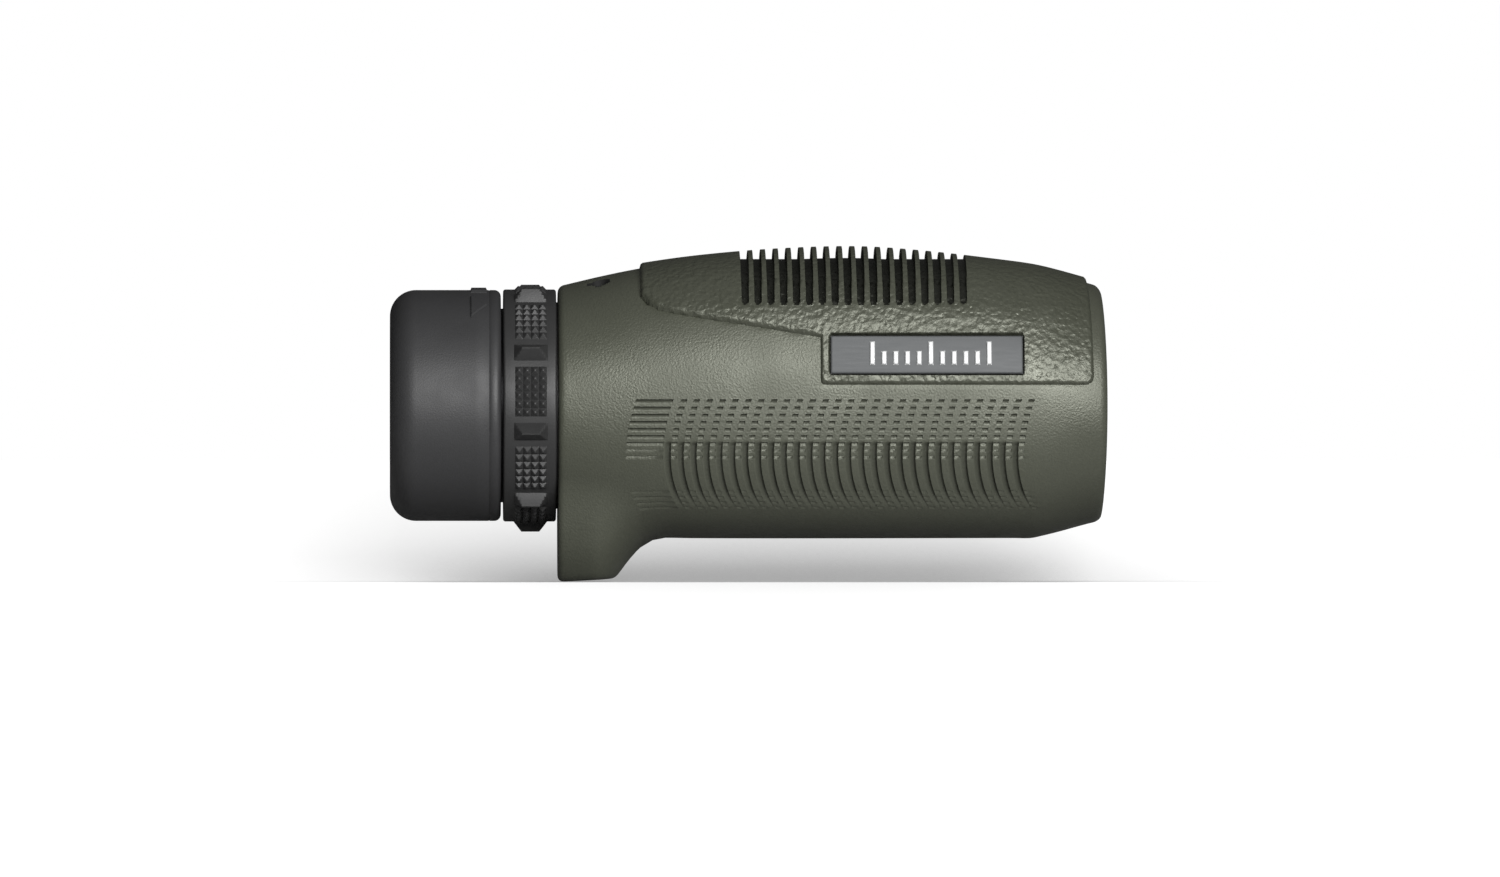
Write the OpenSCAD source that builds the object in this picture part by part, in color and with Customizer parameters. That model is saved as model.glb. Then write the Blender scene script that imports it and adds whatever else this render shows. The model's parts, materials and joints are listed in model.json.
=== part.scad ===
// Roof-prism monocular with a focus ring at its eyepiece end and a twist-up eyecup.
// X runs along the optical axis towards the view, Z is up, and the origin is the centre
// of the objective cell's mouth. Angles about the axis are counted from +Y towards +Z.

/* [Body] */
// Half width of the armoured body at its widest
body_half_w = 22.5; // [22.3:0.1:23.2]
// Height of the body's crown above the optical axis
crown_h = 26.6; // [26.2:0.1:27.4]
// Depth of the body's belly below the optical axis
belly_h = 22.9; // [22.6:0.1:23.6]
// Depth of the foot below the optical axis
foot_h = 30.5; // [29:0.5:31.5]
// Thickness of the rubber armour
armour_t = 1.3; // [1.1:0.1:1.4]
// Height of the textured grip panel above the armour
panel_rise = 0.9; // [0.6:0.1:1.2]
// Number of grooves across the top of the grip panel
groove_count = 18; // [10:2:18]
// Distance from one groove to the next
groove_pitch = 2.2; // [1.9:0.1:2.2]
// Radius of the two lanyard holes
lanyard_r = 1.5; // [1.2:0.1:1.6]

/* [Optics] */
// Radius of the objective lenses
objective_r = 17.9; // [17.5:0.1:17.9]
// Height of the light path through the prisms
prism_a = 17; // [15:0.5:17]
// Air gap between the two prisms
prism_gap = 0.25; // [0.1:0.05:0.3]
// Radius of the eyepiece lenses
eyepiece_r = 13; // [12.5:0.1:13]

/* [Focus ring] */
// Turn of the focus ring each way, in degrees
focus_turn = 85; // [60:1:85]
// Travel of the focus lens each way
focus_travel = 1.5; // [1:0.1:1.5]
// Number of finger bumps round the ring
bump_count = 9; // [6:1:12]
// Radius over the finger bumps
bump_r = 21.8; // [21:0.1:22]

/* [Eyecup] */
// Outer radius of the eyecup
eyecup_r = 19.9; // [19.6:0.1:20.2]
// Twist of the eyecup from in to out, in degrees
eyecup_twist = 100; // [80:5:110]
// Travel of the eyecup from in to out
eyecup_travel = 8; // [5:0.5:8]

/* [Hidden] */
ROUND = 96;
LENS_STEPS = 8;
CUT = 1;
SLIDE_GAP = 0.08;

// Body: the armour's ends, and the soft edges round them
rear_x = -91.6;
front_x = 2.5;
rear_edge = 1;
front_edge = 0.8;
front_bow_r = 400;
bow_start_x = -10;
ring_points = 36;
station_step = 6;
foot_step = 1.7;

// Body outlines along X: half width, height, depth and squareness of the cross-section
SIDE_LINE = [
    [rear_x, 20.6], [-84, 21.1], [-74, body_half_w - 0.7], [-60, body_half_w - 0.1],
    [-40, body_half_w], [-20, body_half_w - 0.1], [-9, 21.9], [0, 20.6], [front_x, 20.1]
];
TOP_LINE = [
    [rear_x, 20.5], [-84, 22.3], [-77, 23.7], [-67, crown_h - 1.5], [-54, crown_h - 0.4],
    [-40, crown_h], [-28, crown_h - 0.8], [-15, crown_h - 2.3], [-9.5, 23.5], [-5, 22.5], [0, 21.2],
    [front_x, 20.5]
];
BELLY_LINE = [
    [rear_x, 20.6], [-84, 21.8], [-76, belly_h - 0.3], [-68, belly_h], [-13, belly_h],
    [-10, belly_h], [-8, belly_h - 0.4], [-5, 21.8], [0, 20.5], [front_x, 19.9]
];
SQUARE_LINE = [[rear_x, 2], [-80, 2.2], [-60, 2.4], [-20, 2.4], [-8, 2.15], [0, 2], [front_x, 2]];

// Foot: a keel under the body's rear end, flat below
foot_front_x = -70.5;
foot_blend = 15.5;
foot_reach = 12;
foot_spread = 55;
foot_slope = 0.055;

// Housing
housing_rear_x = -90.6;
housing_front_x = -4;
bay_r = 18.2;
bay_front_x = -57;
bay_rib_w = 2;
bay_rib_r = 14;
barrel_r = 18;
hollow_wall = 2;
hollow_rear_x = -54;
hollow_front_x = -24;

// Grip panel outline in side view, and the grooves over its top
panel_rear_x = -77.5;
panel_step_x = -46.75;
panel_low_z = 3.5;
panel_corner = 0.9;
panel_front_margin = 2.35;
PANEL_SWEEP = [[panel_rear_x, 18.4], [-74.5, 16.4], [-68.3, 15.1], [-57, 13.3], [-48, 11.9]];
groove_w = 1.3;
groove_mid_x = -40.9;
groove_low_z = 17;
groove_floor = -1;
saddle_rear_x = groove_mid_x - groove_count * groove_pitch / 2;
saddle_front_x = groove_mid_x + groove_count * groove_pitch / 2;
saddle_low_z = 16.2;

// Name plates, one on each flank
plate_rear_x = -45.05;
plate_front_x = -12.1;
plate_top_z = 11.8;
plate_low_z = 5.35;
plate_corner = 0.7;
plate_rise = 0.55;
plate_gap = 0.2;

// Lanyard tunnel: two holes through the rear shoulder, joined by an arc under the armour
lanyard_x = -84.3;
lanyard_angle = 18;
lanyard_path_r = 20.3;
lanyard_bore_r = 1.05;
lanyard_floor_r = 19.2;

// Objective cell
cell_rear_x = -17;
cell_r = 18.8;
cell_flange_r = 19.3;
mouth_r = 18.5;
hood_r = 18.9;
ring_seat_r = 18.05;
objective_edge_x = -6.6;
objective_crown_edge = 2;
objective_flint_edge = 4.4;
objective_front_r = 75;
objective_mid_r = 55;
objective_back_r = 200;
objective_clear_r = 17.2;
objective_stop_x = objective_edge_x - objective_crown_edge - objective_flint_edge;
cell_seal_x = -14.2;
cell_seal_w = 1.2;
cell_seal_h = 0.8;

// Prism cage
cage_wall = 1.8;
cage_disc = 2;
cage_window_r = prism_a / 2 - 0.8;
prism_front_x = bay_front_x - cage_disc;
prism_slant = prism_a * (1 + sqrt(2)) / 2;
prism_shift = prism_gap * sqrt(2);
prism_rear_x = prism_front_x - prism_slant - prism_shift;
clamp_w = 2.7;
spring_t = 0.3;

// Ocular housing
flange_front_x = -86.5;
flange_rear_x = -91.65;
flange_neck_r = 17.9;
ocular_rear_x = -114.6;
ocular_r = 16.7;
focus_bore_r = 13.8;
web_front_x = -101.5;
web_rear_x = -102.6;
web_r = 11;
stop_rear_x = -103.2;
flint_edge_x = -105.8;
crown_edge_x = -106.4;
doublet_mid_r = 40;
doublet_back_r = 30;
eye_lens_front_x = -110.5;
eye_lens_rear_x = -113;
eye_lens_front_r = 80;
eye_lens_back_r = 60;
lock_screw_x = -89.3;
lock_screw_r = 0.8;
housing_seal_x = -87;
housing_seal_w = 1;
housing_seal_h = 0.8;
FOCUS_SEALS = [-92.5, -99.2];
focus_seal_w = 0.9;
focus_seal_floor_r = 15.9;
circlip_x = -100.4;
circlip_w = 0.5;
circlip_floor_r = 16;
eye_seal_x = -110.8;
eye_seal_w = 0.8;
eye_seal_h = 0.6;

// Focus ring and focus lens
core_front_x = -92.2;
washer_t = 0.5;
core_rear_x = -100.35;
core_in_r = ocular_r + SLIDE_GAP;
core_out_r = 18.75;
grip_front_x = -91.9;
grip_rear_x = -101;
grip_r = 20;
bump_x = -96.3;
bump_base_l = 5.8;
bump_ridge_l = 3;
bump_span = 9;
bump_first = 33.1;
drive_x = -96.4;
drive_pin_r = 0.8;
drive_pin_tip_r = 17.8;
cam_floor_r = 18;
cam_w = 1.9;
cam_rise = focus_travel / focus_turn;
cam_spare = 4;
lens_cell_r = 13.7;
lens_seat_r = 12.2;
lens_clear_r = 11.4;
focus_lens_r = 50;
lens_cell_half = 3;

// Eyecup
cup_rear_x = -120.5;
cup_front_x = -101.4;
cup_corner = 4.5;
cup_front_edge = 1.1;
cup_lip_edge = 0.7;
cup_lip_r = 14.8;
sleeve_front_x = -101.6;
sleeve_rear_x = -119;
sleeve_r = 18.25;
sleeve_in_r = ocular_r + SLIDE_GAP;
guide_x = -113;
guide_r = 1;
guide_tip_r = 18.1;
slot_w = 2.3;
slot_spare = 5;
glide_x = -102.7;
glide_w = 0.9;

// Purge screw under the armour of the belly
purge_x = -20;
purge_head_r = 2.2;
purge_shank_r = 1.25;
purge_head_h = 0.9;
purge_seal_h = 0.4;
purge_low_z = -(belly_h - armour_t - 0.1);

ARMOUR_GREEN = [0.44, 0.45, 0.40];
PANEL_GREEN = [0.36, 0.37, 0.32];
BLACK_RUBBER = [0.20, 0.20, 0.20];
BLACK_METAL = [0.12, 0.12, 0.13];
PLATE_GREY = [0.40, 0.41, 0.41];
STEEL = [0.70, 0.71, 0.73];
ALLOY = [0.45, 0.46, 0.48];
GLASS = [0.60, 0.75, 0.80, 0.5];

// ---------- curves ----------

// 0 below t = 0, 1 above t = 1, and an S between
function smooth(t) = let (u = min(max(t, 0), 1)) u * u * (3 - 2 * u);

function span_of(x, line, i = 0) =
    (i < len(line) - 2 && x > line[i + 1][0]) ? span_of(x, line, i + 1) : i;

function slope_at(line, i) =
    let (a = line[max(i - 1, 0)], b = line[min(i + 1, len(line) - 1)]) (b[1] - a[1]) / (b[0] - a[0]);

// Height at x of the smooth curve through a line's points
function curve(x, line) =
    let (
        i = span_of(x, line),
        a = line[i],
        b = line[i + 1],
        h = b[0] - a[0],
        t = (x - a[0]) / h,
        s = smooth(t)
    )
    a[1] * (1 - s) + b[1] * s
        + h * t * (1 - t) * ((1 - t) * slope_at(line, i) - t * slope_at(line, i + 1));

// Points [x, r] of an arc about [x, r] = centre
function arc(centre, radius, from, to, steps = 8) = [
    for (i = [0:steps])
        let (a = from + (to - from) * i / steps) centre + radius * [cos(a), sin(a)]
];

// ---------- turned and radial shapes ----------

// Cylinder along X
module rod(x0, x1, r) translate([x0, 0, 0]) rotate([0, 90, 0]) cylinder(h = x1 - x0, r = r, $fn = ROUND);

// Hollow cylinder along X
module tube(x0, x1, r_out, r_in) {
    difference() {
        rod(x0, x1, r_out);
        rod(x0 - CUT, x1 + CUT, r_in);
    }
}

// Solid of revolution about X from points [x, r]
module turned(points) {
    rotate([0, 90, 0])
        rotate_extrude($fn = ROUND)
            polygon([for (p = points) [p[1], p[0]]]);
}

// Cylinder that points away from the axis
module peg(x, angle, r0, r1, r) {
    rotate([angle - 90, 0, 0])
        translate([x, 0, r0])
            cylinder(h = r1 - r0, r = r, $fn = 32);
}

// Depth of a lens surface at its edge
function sag(radius, edge_r) = radius - sqrt(radius * radius - edge_r * edge_r);

// Height of a lens surface above its edge, at the radius where a ring rests on it
function seat_rise(radius, edge_r, seat_r) = sag(radius, edge_r) - sag(radius, seat_r);

// Points [x, r] of a groove in an outline of radius r that runs towards -X
function groove(x, width, r, floor_r) = [[x, r], [x, floor_r], [x - width, floor_r], [x - width, r]];

// Points [x, r] of a lens surface from the axis out to its edge at edge_x;
// bulge is +1 towards +X, -1 towards -X and 0 for a flat surface
function lens_face(edge_x, radius, bulge, edge_r) = [
    for (i = [0:LENS_STEPS])
        let (r = edge_r * i / LENS_STEPS)
            [edge_x + bulge * (sag(radius, edge_r) - sag(radius, r)), r]
];

// Lens between a front and a back surface, each given as [edge_x, radius, bulge]
module lens(edge_r, front, back) {
    back_face = lens_face(back[0], back[1], back[2], edge_r);
    turned(concat(
        lens_face(front[0], front[1], front[2], edge_r),
        [for (i = [len(back_face) - 1:-1:0]) back_face[i]]
    ));
}

// Slot that climbs along X while it turns about X, from angle a0 to a1
module helical_slot(x0, a0, a1, rise, width, r_in, r_out) {
    steps = ceil(abs(a1 - a0) / 4);
    sections = [
        for (i = [0:steps])
            let (a = a0 + (a1 - a0) * i / steps, x = x0 + rise * (a - a0))
                for (c = [[-1, r_in], [1, r_in], [1, r_out], [-1, r_out]])
                    [x + c[0] * width / 2, c[1] * cos(a), c[1] * sin(a)]
    ];
    polyhedron(sections, tube_faces(steps + 1, 4, a1 > a0));
}

// Triangles of a closed tube of rings of points, with flat ends
function tube_faces(rings, sides, flip) =
    let (
        walls = [
            for (i = [0:rings - 2], j = [0:sides - 1])
                let (
                    a = i * sides + j,
                    b = i * sides + (j + 1) % sides,
                    c = a + sides,
                    d = b + sides
                )
                    each [[a, b, d], [a, d, c]]
        ],
        last = (rings - 1) * sides,
        ends = [
            [for (j = [sides - 1:-1:0]) j],
            [for (j = [0:sides - 1]) last + j]
        ],
        faces = concat(walls, ends)
    )
    flip ? [for (f = faces) [for (k = [len(f) - 1:-1:0]) f[k]]] : faces;

// ---------- the body's skin ----------

// Share of the foot's full depth at x
function foot_share(x) = pow(smooth((foot_front_x - x) / foot_blend), 2);

// How far the foot pushes a point of the body outward
function foot_push(x, y, z) =
    let (away = atan2(abs(y), -z))
    away > foot_spread ? 0
        : foot_reach * foot_share(x) * (1 + cos(180 * away / foot_spread)) / 2;

// How far the front rim lies behind its foremost point
function rim_bow(z) = z * z / (2 * front_bow_r);

function bowed(x, z) =
    x - rim_bow(z) * smooth((x - bow_start_x) / (front_x - bow_start_x));

// One point of the cross-section at x, offset outward from the armour's surface
function body_point(x, offset, a) =
    let (
        power = 2 / curve(x, SQUARE_LINE),
        w = curve(x, SIDE_LINE) + offset,
        h = curve(x, a < 180 ? TOP_LINE : BELLY_LINE) + offset,
        y = w * sign(cos(a)) * pow(abs(cos(a)), power),
        z = h * sign(sin(a)) * pow(abs(sin(a)), power),
        grow = 1 + foot_push(x, y, z) / norm([y, z]),
        floor_z = foot_slope * (x - rear_x) - foot_h - offset,
        low_z = max(z * grow, floor_z)
    )
    [bowed(x, low_z), y * grow, low_z];

// Places along X with their inset, closer together at the soft edges and along the foot
STATIONS = concat(
    [[rear_x, -rear_edge], [rear_x + 0.3 * rear_edge, -0.3 * rear_edge], [rear_x + rear_edge, 0]],
    [for (x = [-88.4:foot_step:-70]) [x, 0]],
    [for (x = [-69:station_step:-9]) [x, 0]],
    [[-5.5, 0], [-2, 0], [0.5, 0]],
    [[front_x - front_edge, 0], [front_x - 0.3 * front_edge, -0.3 * front_edge], [front_x, -front_edge]]
);

// Solid inside the body's surface moved outward by offset, between two places along X
module skin(offset, from = rear_x, to = front_x) {
    places = [for (s = STATIONS) if (s[0] >= from && s[0] <= to) s];
    rings = [
        for (s = places)
            [for (i = [0:ring_points - 1]) body_point(s[0], offset + s[1], 360 * i / ring_points)]
    ];
    first = places[0][0];
    last_i = len(rings) - 1;
    mouth = [for (p = rings[last_i]) let (q = p * 0.8) [places[last_i][0] - rim_bow(q[2]), q[1], q[2]]];
    centres = [[first, 0, 0], [places[last_i][0], 0, 0]];
    all_rings = concat(rings, places[last_i][0] == front_x ? [mouth] : []);
    count = len(all_rings);
    points = concat([for (r = all_rings) each r], centres);
    n = ring_points;
    walls = [
        for (i = [0:count - 2], j = [0:n - 1])
            let (a = i * n + j, b = i * n + (j + 1) % n)
                each [[a, a + n, b + n], [a, b + n, b]]
    ];
    rear_cap = [for (j = [0:n - 1]) [count * n, j, (j + 1) % n]];
    front_cap = [for (j = [0:n - 1]) [count * n + 1, (count - 1) * n + (j + 1) % n, (count - 1) * n + j]];
    polyhedron(points, concat(walls, rear_cap, front_cap));
}

// Block between two places along X, wider than the body
module slab(x0, x1, low_z = -50, high_z = 50) {
    translate([x0, -50, low_z]) cube([x1 - x0, 100, high_z - low_z]);
}

// The space that the housing fills inside the armour
module housing_envelope() {
    intersection() {
        skin(-armour_t);
        slab(housing_rear_x, housing_front_x);
    }
}

// Two radial holes joined by an arc round the optical axis
module lanyard_tunnel() {
    for (side = [-1, 1])
        peg(lanyard_x, 90 + side * lanyard_angle, lanyard_floor_r, 30, lanyard_r);
    translate([lanyard_x, 0, 0])
        rotate([90 - lanyard_angle, 0, 0])
            rotate([0, 90, 0])
                rotate([0, 0, 90])
                    rotate_extrude(angle = 2 * lanyard_angle, $fn = ROUND)
                        translate([lanyard_path_r, 0])
                            circle(r = lanyard_bore_r, $fn = 24);
}

// ---------- housing and armour ----------

module main_housing() {
    color(ALLOY)
        difference() {
            housing_envelope();
            rod(housing_rear_x - CUT, bay_front_x, bay_r);
            rod(bay_front_x - CUT, bay_front_x + bay_rib_w + CUT, bay_rib_r);
            rod(bay_front_x + bay_rib_w, cell_rear_x + CUT, barrel_r);
            rod(cell_rear_x, housing_front_x + CUT, cell_r);
            intersection() {
                skin(-armour_t - hollow_wall);
                slab(hollow_rear_x, hollow_front_x);
            }
            lanyard_tunnel();
            lock_screw_pegs();
            purge_hole();
        }
}

module body_armour() {
    color(ARMOUR_GREEN)
        difference() {
            skin(0);
            housing_envelope();
            rod(rear_x - CUT, housing_rear_x + CUT, 18);
            rod(housing_front_x - CUT, 0, cell_flange_r);
            rod(-CUT, front_x + CUT, hood_r);
            slab(saddle_rear_x, saddle_front_x, saddle_low_z);
            lanyard_tunnel();
        }
}

// Side outline of the grip panel, in X and Z
module panel_outline() {
    sweep_end = PANEL_SWEEP[len(PANEL_SWEEP) - 1][0];
    polygon(concat(
        [for (x = [panel_rear_x:1.5:sweep_end]) [x, curve(x, PANEL_SWEEP)]],
        arc([panel_step_x - panel_corner, 10.7], panel_corner, 90, 0, 4),
        arc([panel_step_x + panel_corner, panel_low_z + panel_corner], panel_corner, 180, 270, 4),
        [for (z = [panel_low_z:3:32]) [front_x - panel_front_margin - rim_bow(z), z]],
        [[panel_rear_x, 40]]
    ));
}

module upright(low_y = -50, high_y = 50) {
    translate([0, high_y, 0]) rotate([90, 0, 0]) linear_extrude(high_y - low_y) children();
}

module grip_grooves() {
    for (i = [0:groove_count - 1])
        let (x = saddle_rear_x + (i + 0.5) * groove_pitch)
            hull() {
                upright() translate([x, groove_low_z + groove_w / 2]) circle(d = groove_w, $fn = 16);
                slab(x - groove_w / 2, x + groove_w / 2, 30, 31);
            }
}

module grip_panel() {
    color(PANEL_GREEN)
        difference() {
            intersection() {
                skin(panel_rise);
                upright() panel_outline();
            }
            difference() {
                skin(0);
                slab(saddle_rear_x, saddle_front_x, saddle_low_z);
            }
            skin(-armour_t);
            difference() {
                grip_grooves();
                skin(groove_floor);
            }
            plate_window(plate_gap);
        }
}

// Rounded rectangle in X and Z
module round_rectangle(x0, x1, z0, z1, r) {
    translate([x0 + r, z0]) square([x1 - x0 - 2 * r, z1 - z0]);
    translate([x0, z0 + r]) square([x1 - x0, z1 - z0 - 2 * r]);
    for (x = [x0 + r, x1 - r], z = [z0 + r, z1 - r])
        translate([x, z]) circle(r = r, $fn = 24);
}

module plate_window(gap) {
    upright()
        round_rectangle(plate_rear_x - gap, plate_front_x + gap, plate_low_z - gap, plate_top_z + gap,
            plate_corner + gap);
}

// side is +1 for the left flank and -1 for the right flank
module name_plate(side) {
    color(PLATE_GREY)
        intersection() {
            difference() {
                skin(plate_rise, -52, -8);
                skin(0, -52, -8);
            }
            plate_window(0);
            translate([-60, side > 0 ? 0 : -50, 0]) cube([60, 50, 30]);
        }
}

module name_plate_left() name_plate(1);
module name_plate_right() name_plate(-1);

// ---------- objective ----------

module objective_cell() {
    stop_rise = seat_rise(objective_back_r, objective_r, objective_clear_r);
    color(BLACK_METAL)
        turned(concat(
            [
                [objective_stop_x - stop_rise, objective_clear_r], [objective_stop_x - stop_rise, objective_r],
                [objective_edge_x, objective_r], [objective_edge_x, ring_seat_r],
                [housing_front_x, ring_seat_r], [housing_front_x, mouth_r], [0, mouth_r],
                [0, cell_flange_r], [housing_front_x, cell_flange_r], [housing_front_x, cell_r]
            ],
            groove(cell_seal_x, cell_seal_w, cell_r, cell_r - cell_seal_h),
            [[cell_rear_x, cell_r], [cell_rear_x, objective_clear_r]]
        ));
}

module objective_crown_lens() {
    color(GLASS)
        lens(objective_r, [objective_edge_x, objective_front_r, 1],
            [objective_edge_x - objective_crown_edge, objective_mid_r, -1]);
}

module objective_flint_lens() {
    color(GLASS)
        lens(objective_r, [objective_edge_x - objective_crown_edge, objective_mid_r, -1],
            [objective_stop_x, objective_back_r, -1]);
}

module objective_retaining_ring() {
    in_r = objective_clear_r + 0.1;
    rear = objective_edge_x + seat_rise(objective_front_r, objective_r, in_r);
    color(BLACK_METAL) tube(rear, housing_front_x, ring_seat_r, in_r);
}

module objective_seal_ring() {
    color(BLACK_RUBBER) tube(cell_seal_x - cell_seal_w, cell_seal_x, cell_r, cell_r - cell_seal_h);
}

// Tube with inward knife edges that trap stray light
module light_baffle() {
    rear = -54.5;
    front = -18;
    edges = 5;
    edge_r = 16.4;
    wall_r = 17.4;
    edge_w = 0.4;
    edge_slope = 0.8;
    pitch = (front - rear) / edges;
    color(BLACK_METAL)
        turned(concat(
            [[rear, barrel_r], [front, barrel_r]],
            [
                for (i = [0:edges - 1])
                    let (x = front - i * pitch)
                        each [
                            [x, edge_r], [x - edge_w, edge_r],
                            [x - edge_w - edge_slope, wall_r], [x - pitch, wall_r]
                        ]
            ]
        ));
}

// ---------- prisms ----------

// Places children in the prisms' frame: x along the light, z down
module prism_frame() {
    translate([prism_front_x, 0, 0]) rotate([0, 180, 0]) children();
}

module prism_block(outline) {
    rotate([90, 0, 0])
        translate([0, 0, -prism_a / 2])
            linear_extrude(prism_a)
                polygon(outline);
}

module prism_cage() {
    half = prism_a / 2;
    rear = prism_rear_x - cage_disc;
    color(BLACK_METAL)
        difference() {
            rod(rear, bay_front_x, bay_r);
            translate([prism_rear_x, -half, -50]) cube([prism_front_x - prism_rear_x, prism_a, 100]);
            for (side = [-1, 1])
                translate([prism_rear_x, side > 0 ? half + cage_wall : -50, -50])
                    cube([prism_front_x - prism_rear_x, 50 - half - cage_wall, 100]);
            rod(rear - CUT, bay_front_x + CUT, cage_window_r);
        }
}

module pechan_prism() {
    a = prism_a;
    color(GLASS)
        prism_frame()
            prism_block([
                [0, -a / 2], [prism_slant, sqrt(0.5) * a], [a, (sqrt(2) - 0.5) * a], [0, a / 2]
            ]);
}

module roof_prism() {
    a = prism_a;
    ridge = sqrt(pow(prism_slant, 2) + a * a / 4);
    color(GLASS)
        prism_frame()
            translate([prism_shift, 0, 0])
                intersection() {
                    prism_block([[0, -a / 2], [prism_slant, -a], [prism_slant, sqrt(0.5) * a]]);
                    translate([0, 0, -a / 2])
                        rotate([0, 22.5, 0])
                            rotate([45, 0, 0])
                                translate([-10, 0, 0]) cube([ridge + 20, 3 * a, 3 * a]);
                }
}

// Two strips that hold the prisms apart along their edges
module prism_gap_shims() {
    a = prism_a;
    length = prism_slant * sqrt(2) * 0.8;
    color(STEEL)
        prism_frame()
            translate([0, 0, -a / 2])
                rotate([0, -45, 0])
                    for (side = [-1, 1])
                        translate([length * 0.12, side > 0 ? a / 2 - 1.2 : -a / 2, -prism_gap])
                            cube([length, 1.2, prism_gap]);
}

// Flat springs that press each prism's outer corner
module prism_springs() {
    length = prism_front_x - prism_rear_x;
    width = 5;
    color(STEEL) {
        translate([prism_rear_x, -width / 2, prism_a + 0.05]) cube([length, width, spring_t]);
        translate([prism_rear_x, -width / 2, -(sqrt(2) - 0.5) * prism_a - 0.05 - spring_t])
            cube([length, width, spring_t]);
    }
}

module cage_clamp_ring() {
    rear = prism_rear_x - cage_disc - clamp_w;
    color(BLACK_METAL)
        difference() {
            tube(rear, rear + clamp_w, bay_r, 15.5);
            for (side = [0, 180])
                peg(rear, side, 14, 17.5, 1);
        }
}

// ---------- ocular housing and eyepiece ----------

module lock_screw_pegs() {
    for (angle = [90, 210, 330])
        peg(lock_screw_x, angle, 16.9, 19.2, lock_screw_r);
}

module ocular_lock_screws() {
    color(STEEL)
        difference() {
            lock_screw_pegs();
            for (angle = [90, 210, 330])
                rotate([angle - 90, 0, 0])
                    translate([lock_screw_x, 0, 18.7])
                        cylinder(h = CUT, r = 0.45, $fn = 6);
        }
}

module guide_pegs() {
    for (angle = [0, 180])
        peg(guide_x, angle, 14.5, guide_tip_r, guide_r);
}

// Axial slots for the drive pins, with round ends
module drive_slots() {
    half = focus_travel + 0.15;
    r = drive_pin_r + 0.1;
    for (angle = [0, 180]) {
        peg(drive_x - half, angle, 12, 18, r);
        peg(drive_x + half, angle, 12, 18, r);
        rotate([angle - 90, 0, 0])
            translate([drive_x - half, -r, 12])
                cube([2 * half, 2 * r, 6]);
    }
}

module ocular_housing() {
    color(BLACK_METAL)
        difference() {
            turned(concat(
                [[flange_front_x, focus_bore_r], [flange_front_x, bay_r]],
                groove(housing_seal_x, housing_seal_w, bay_r, bay_r - housing_seal_h),
                [
                    [housing_rear_x, bay_r], [housing_rear_x, flange_neck_r],
                    [flange_rear_x, flange_neck_r], [flange_rear_x, ocular_r]
                ],
                [for (x = FOCUS_SEALS) each groove(x, focus_seal_w, ocular_r, focus_seal_floor_r)],
                groove(circlip_x, circlip_w, ocular_r, circlip_floor_r),
                [[ocular_rear_x, ocular_r], [ocular_rear_x, eyepiece_r]],
                [
                    for (p = groove(-eye_seal_x + eye_seal_w, eye_seal_w, eyepiece_r, eyepiece_r + eye_seal_h))
                        [-p[0], p[1]]
                ],
                [
                    [web_rear_x, eyepiece_r], [web_rear_x, web_r], [web_front_x, web_r],
                    [web_front_x, focus_bore_r]
                ]
            ));
            drive_slots();
            guide_pegs();
            lock_screw_pegs();
        }
}

module ocular_housing_seal() {
    color(BLACK_RUBBER) tube(housing_seal_x - housing_seal_w, housing_seal_x, bay_r, bay_r - housing_seal_h);
}

module eyecup_guide_pins() {
    color(STEEL) guide_pegs();
}

module field_stop() {
    color(BLACK_METAL)
        turned([[stop_rear_x, 9.4], [stop_rear_x, eyepiece_r], [web_rear_x, eyepiece_r], [web_rear_x, 9]]);
}

module eyepiece_flint_lens() {
    color(GLASS)
        lens(eyepiece_r, [stop_rear_x, doublet_mid_r, 0], [flint_edge_x, doublet_mid_r, 1]);
}

module eyepiece_crown_lens() {
    color(GLASS)
        lens(eyepiece_r, [flint_edge_x, doublet_mid_r, 1], [crown_edge_x, doublet_back_r, -1]);
}

module eyepiece_spacer() {
    in_r = eyepiece_r - 0.6;
    rear = eye_lens_front_x + seat_rise(eye_lens_front_r, eyepiece_r, in_r);
    front = crown_edge_x - seat_rise(doublet_back_r, eyepiece_r, in_r);
    color(BLACK_METAL) tube(rear, front, eyepiece_r, in_r);
}

module eye_lens() {
    color(GLASS)
        lens(eyepiece_r, [eye_lens_front_x, eye_lens_front_r, 1], [eye_lens_rear_x, eye_lens_back_r, 1]);
}

module eye_lens_seal() {
    color(BLACK_RUBBER) tube(eye_seal_x - eye_seal_w, eye_seal_x, eyepiece_r + eye_seal_h, eyepiece_r);
}

module eye_lens_retaining_ring() {
    color(BLACK_METAL)
        turned([
            [-114.4, 12.4], [-114.4, eyepiece_r], [eye_lens_rear_x, eyepiece_r], [eye_lens_rear_x, 11.8]
        ]);
}

// ---------- focus ring ----------

// Open spring ring
module focus_circlip() {
    color(STEEL)
        difference() {
            tube(circlip_x - circlip_w, circlip_x, 17.6, circlip_floor_r);
            rotate([-90, 0, 0]) circlip_opening();
        }
}

// Wedge that cuts the circlip's opening, pointing up from the axis
module circlip_opening() {
    reach = 30;
    half_w = reach * tan(8);
    translate([circlip_x - circlip_w - CUT, 0, 0])
        rotate([90, 0, 90])
            linear_extrude(circlip_w + 2 * CUT)
                polygon([[0, 0], [half_w, reach], [-half_w, reach]]);
}

module focus_friction_washer() {
    color(BLACK_RUBBER) tube(flange_rear_x - washer_t, flange_rear_x, flange_neck_r - 0.1, ocular_r + 0.3);
}

module focus_seal_rings() {
    color(BLACK_RUBBER)
        for (x = FOCUS_SEALS)
            tube(x - focus_seal_w, x, ocular_r + SLIDE_GAP / 2, focus_seal_floor_r);
}

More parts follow.
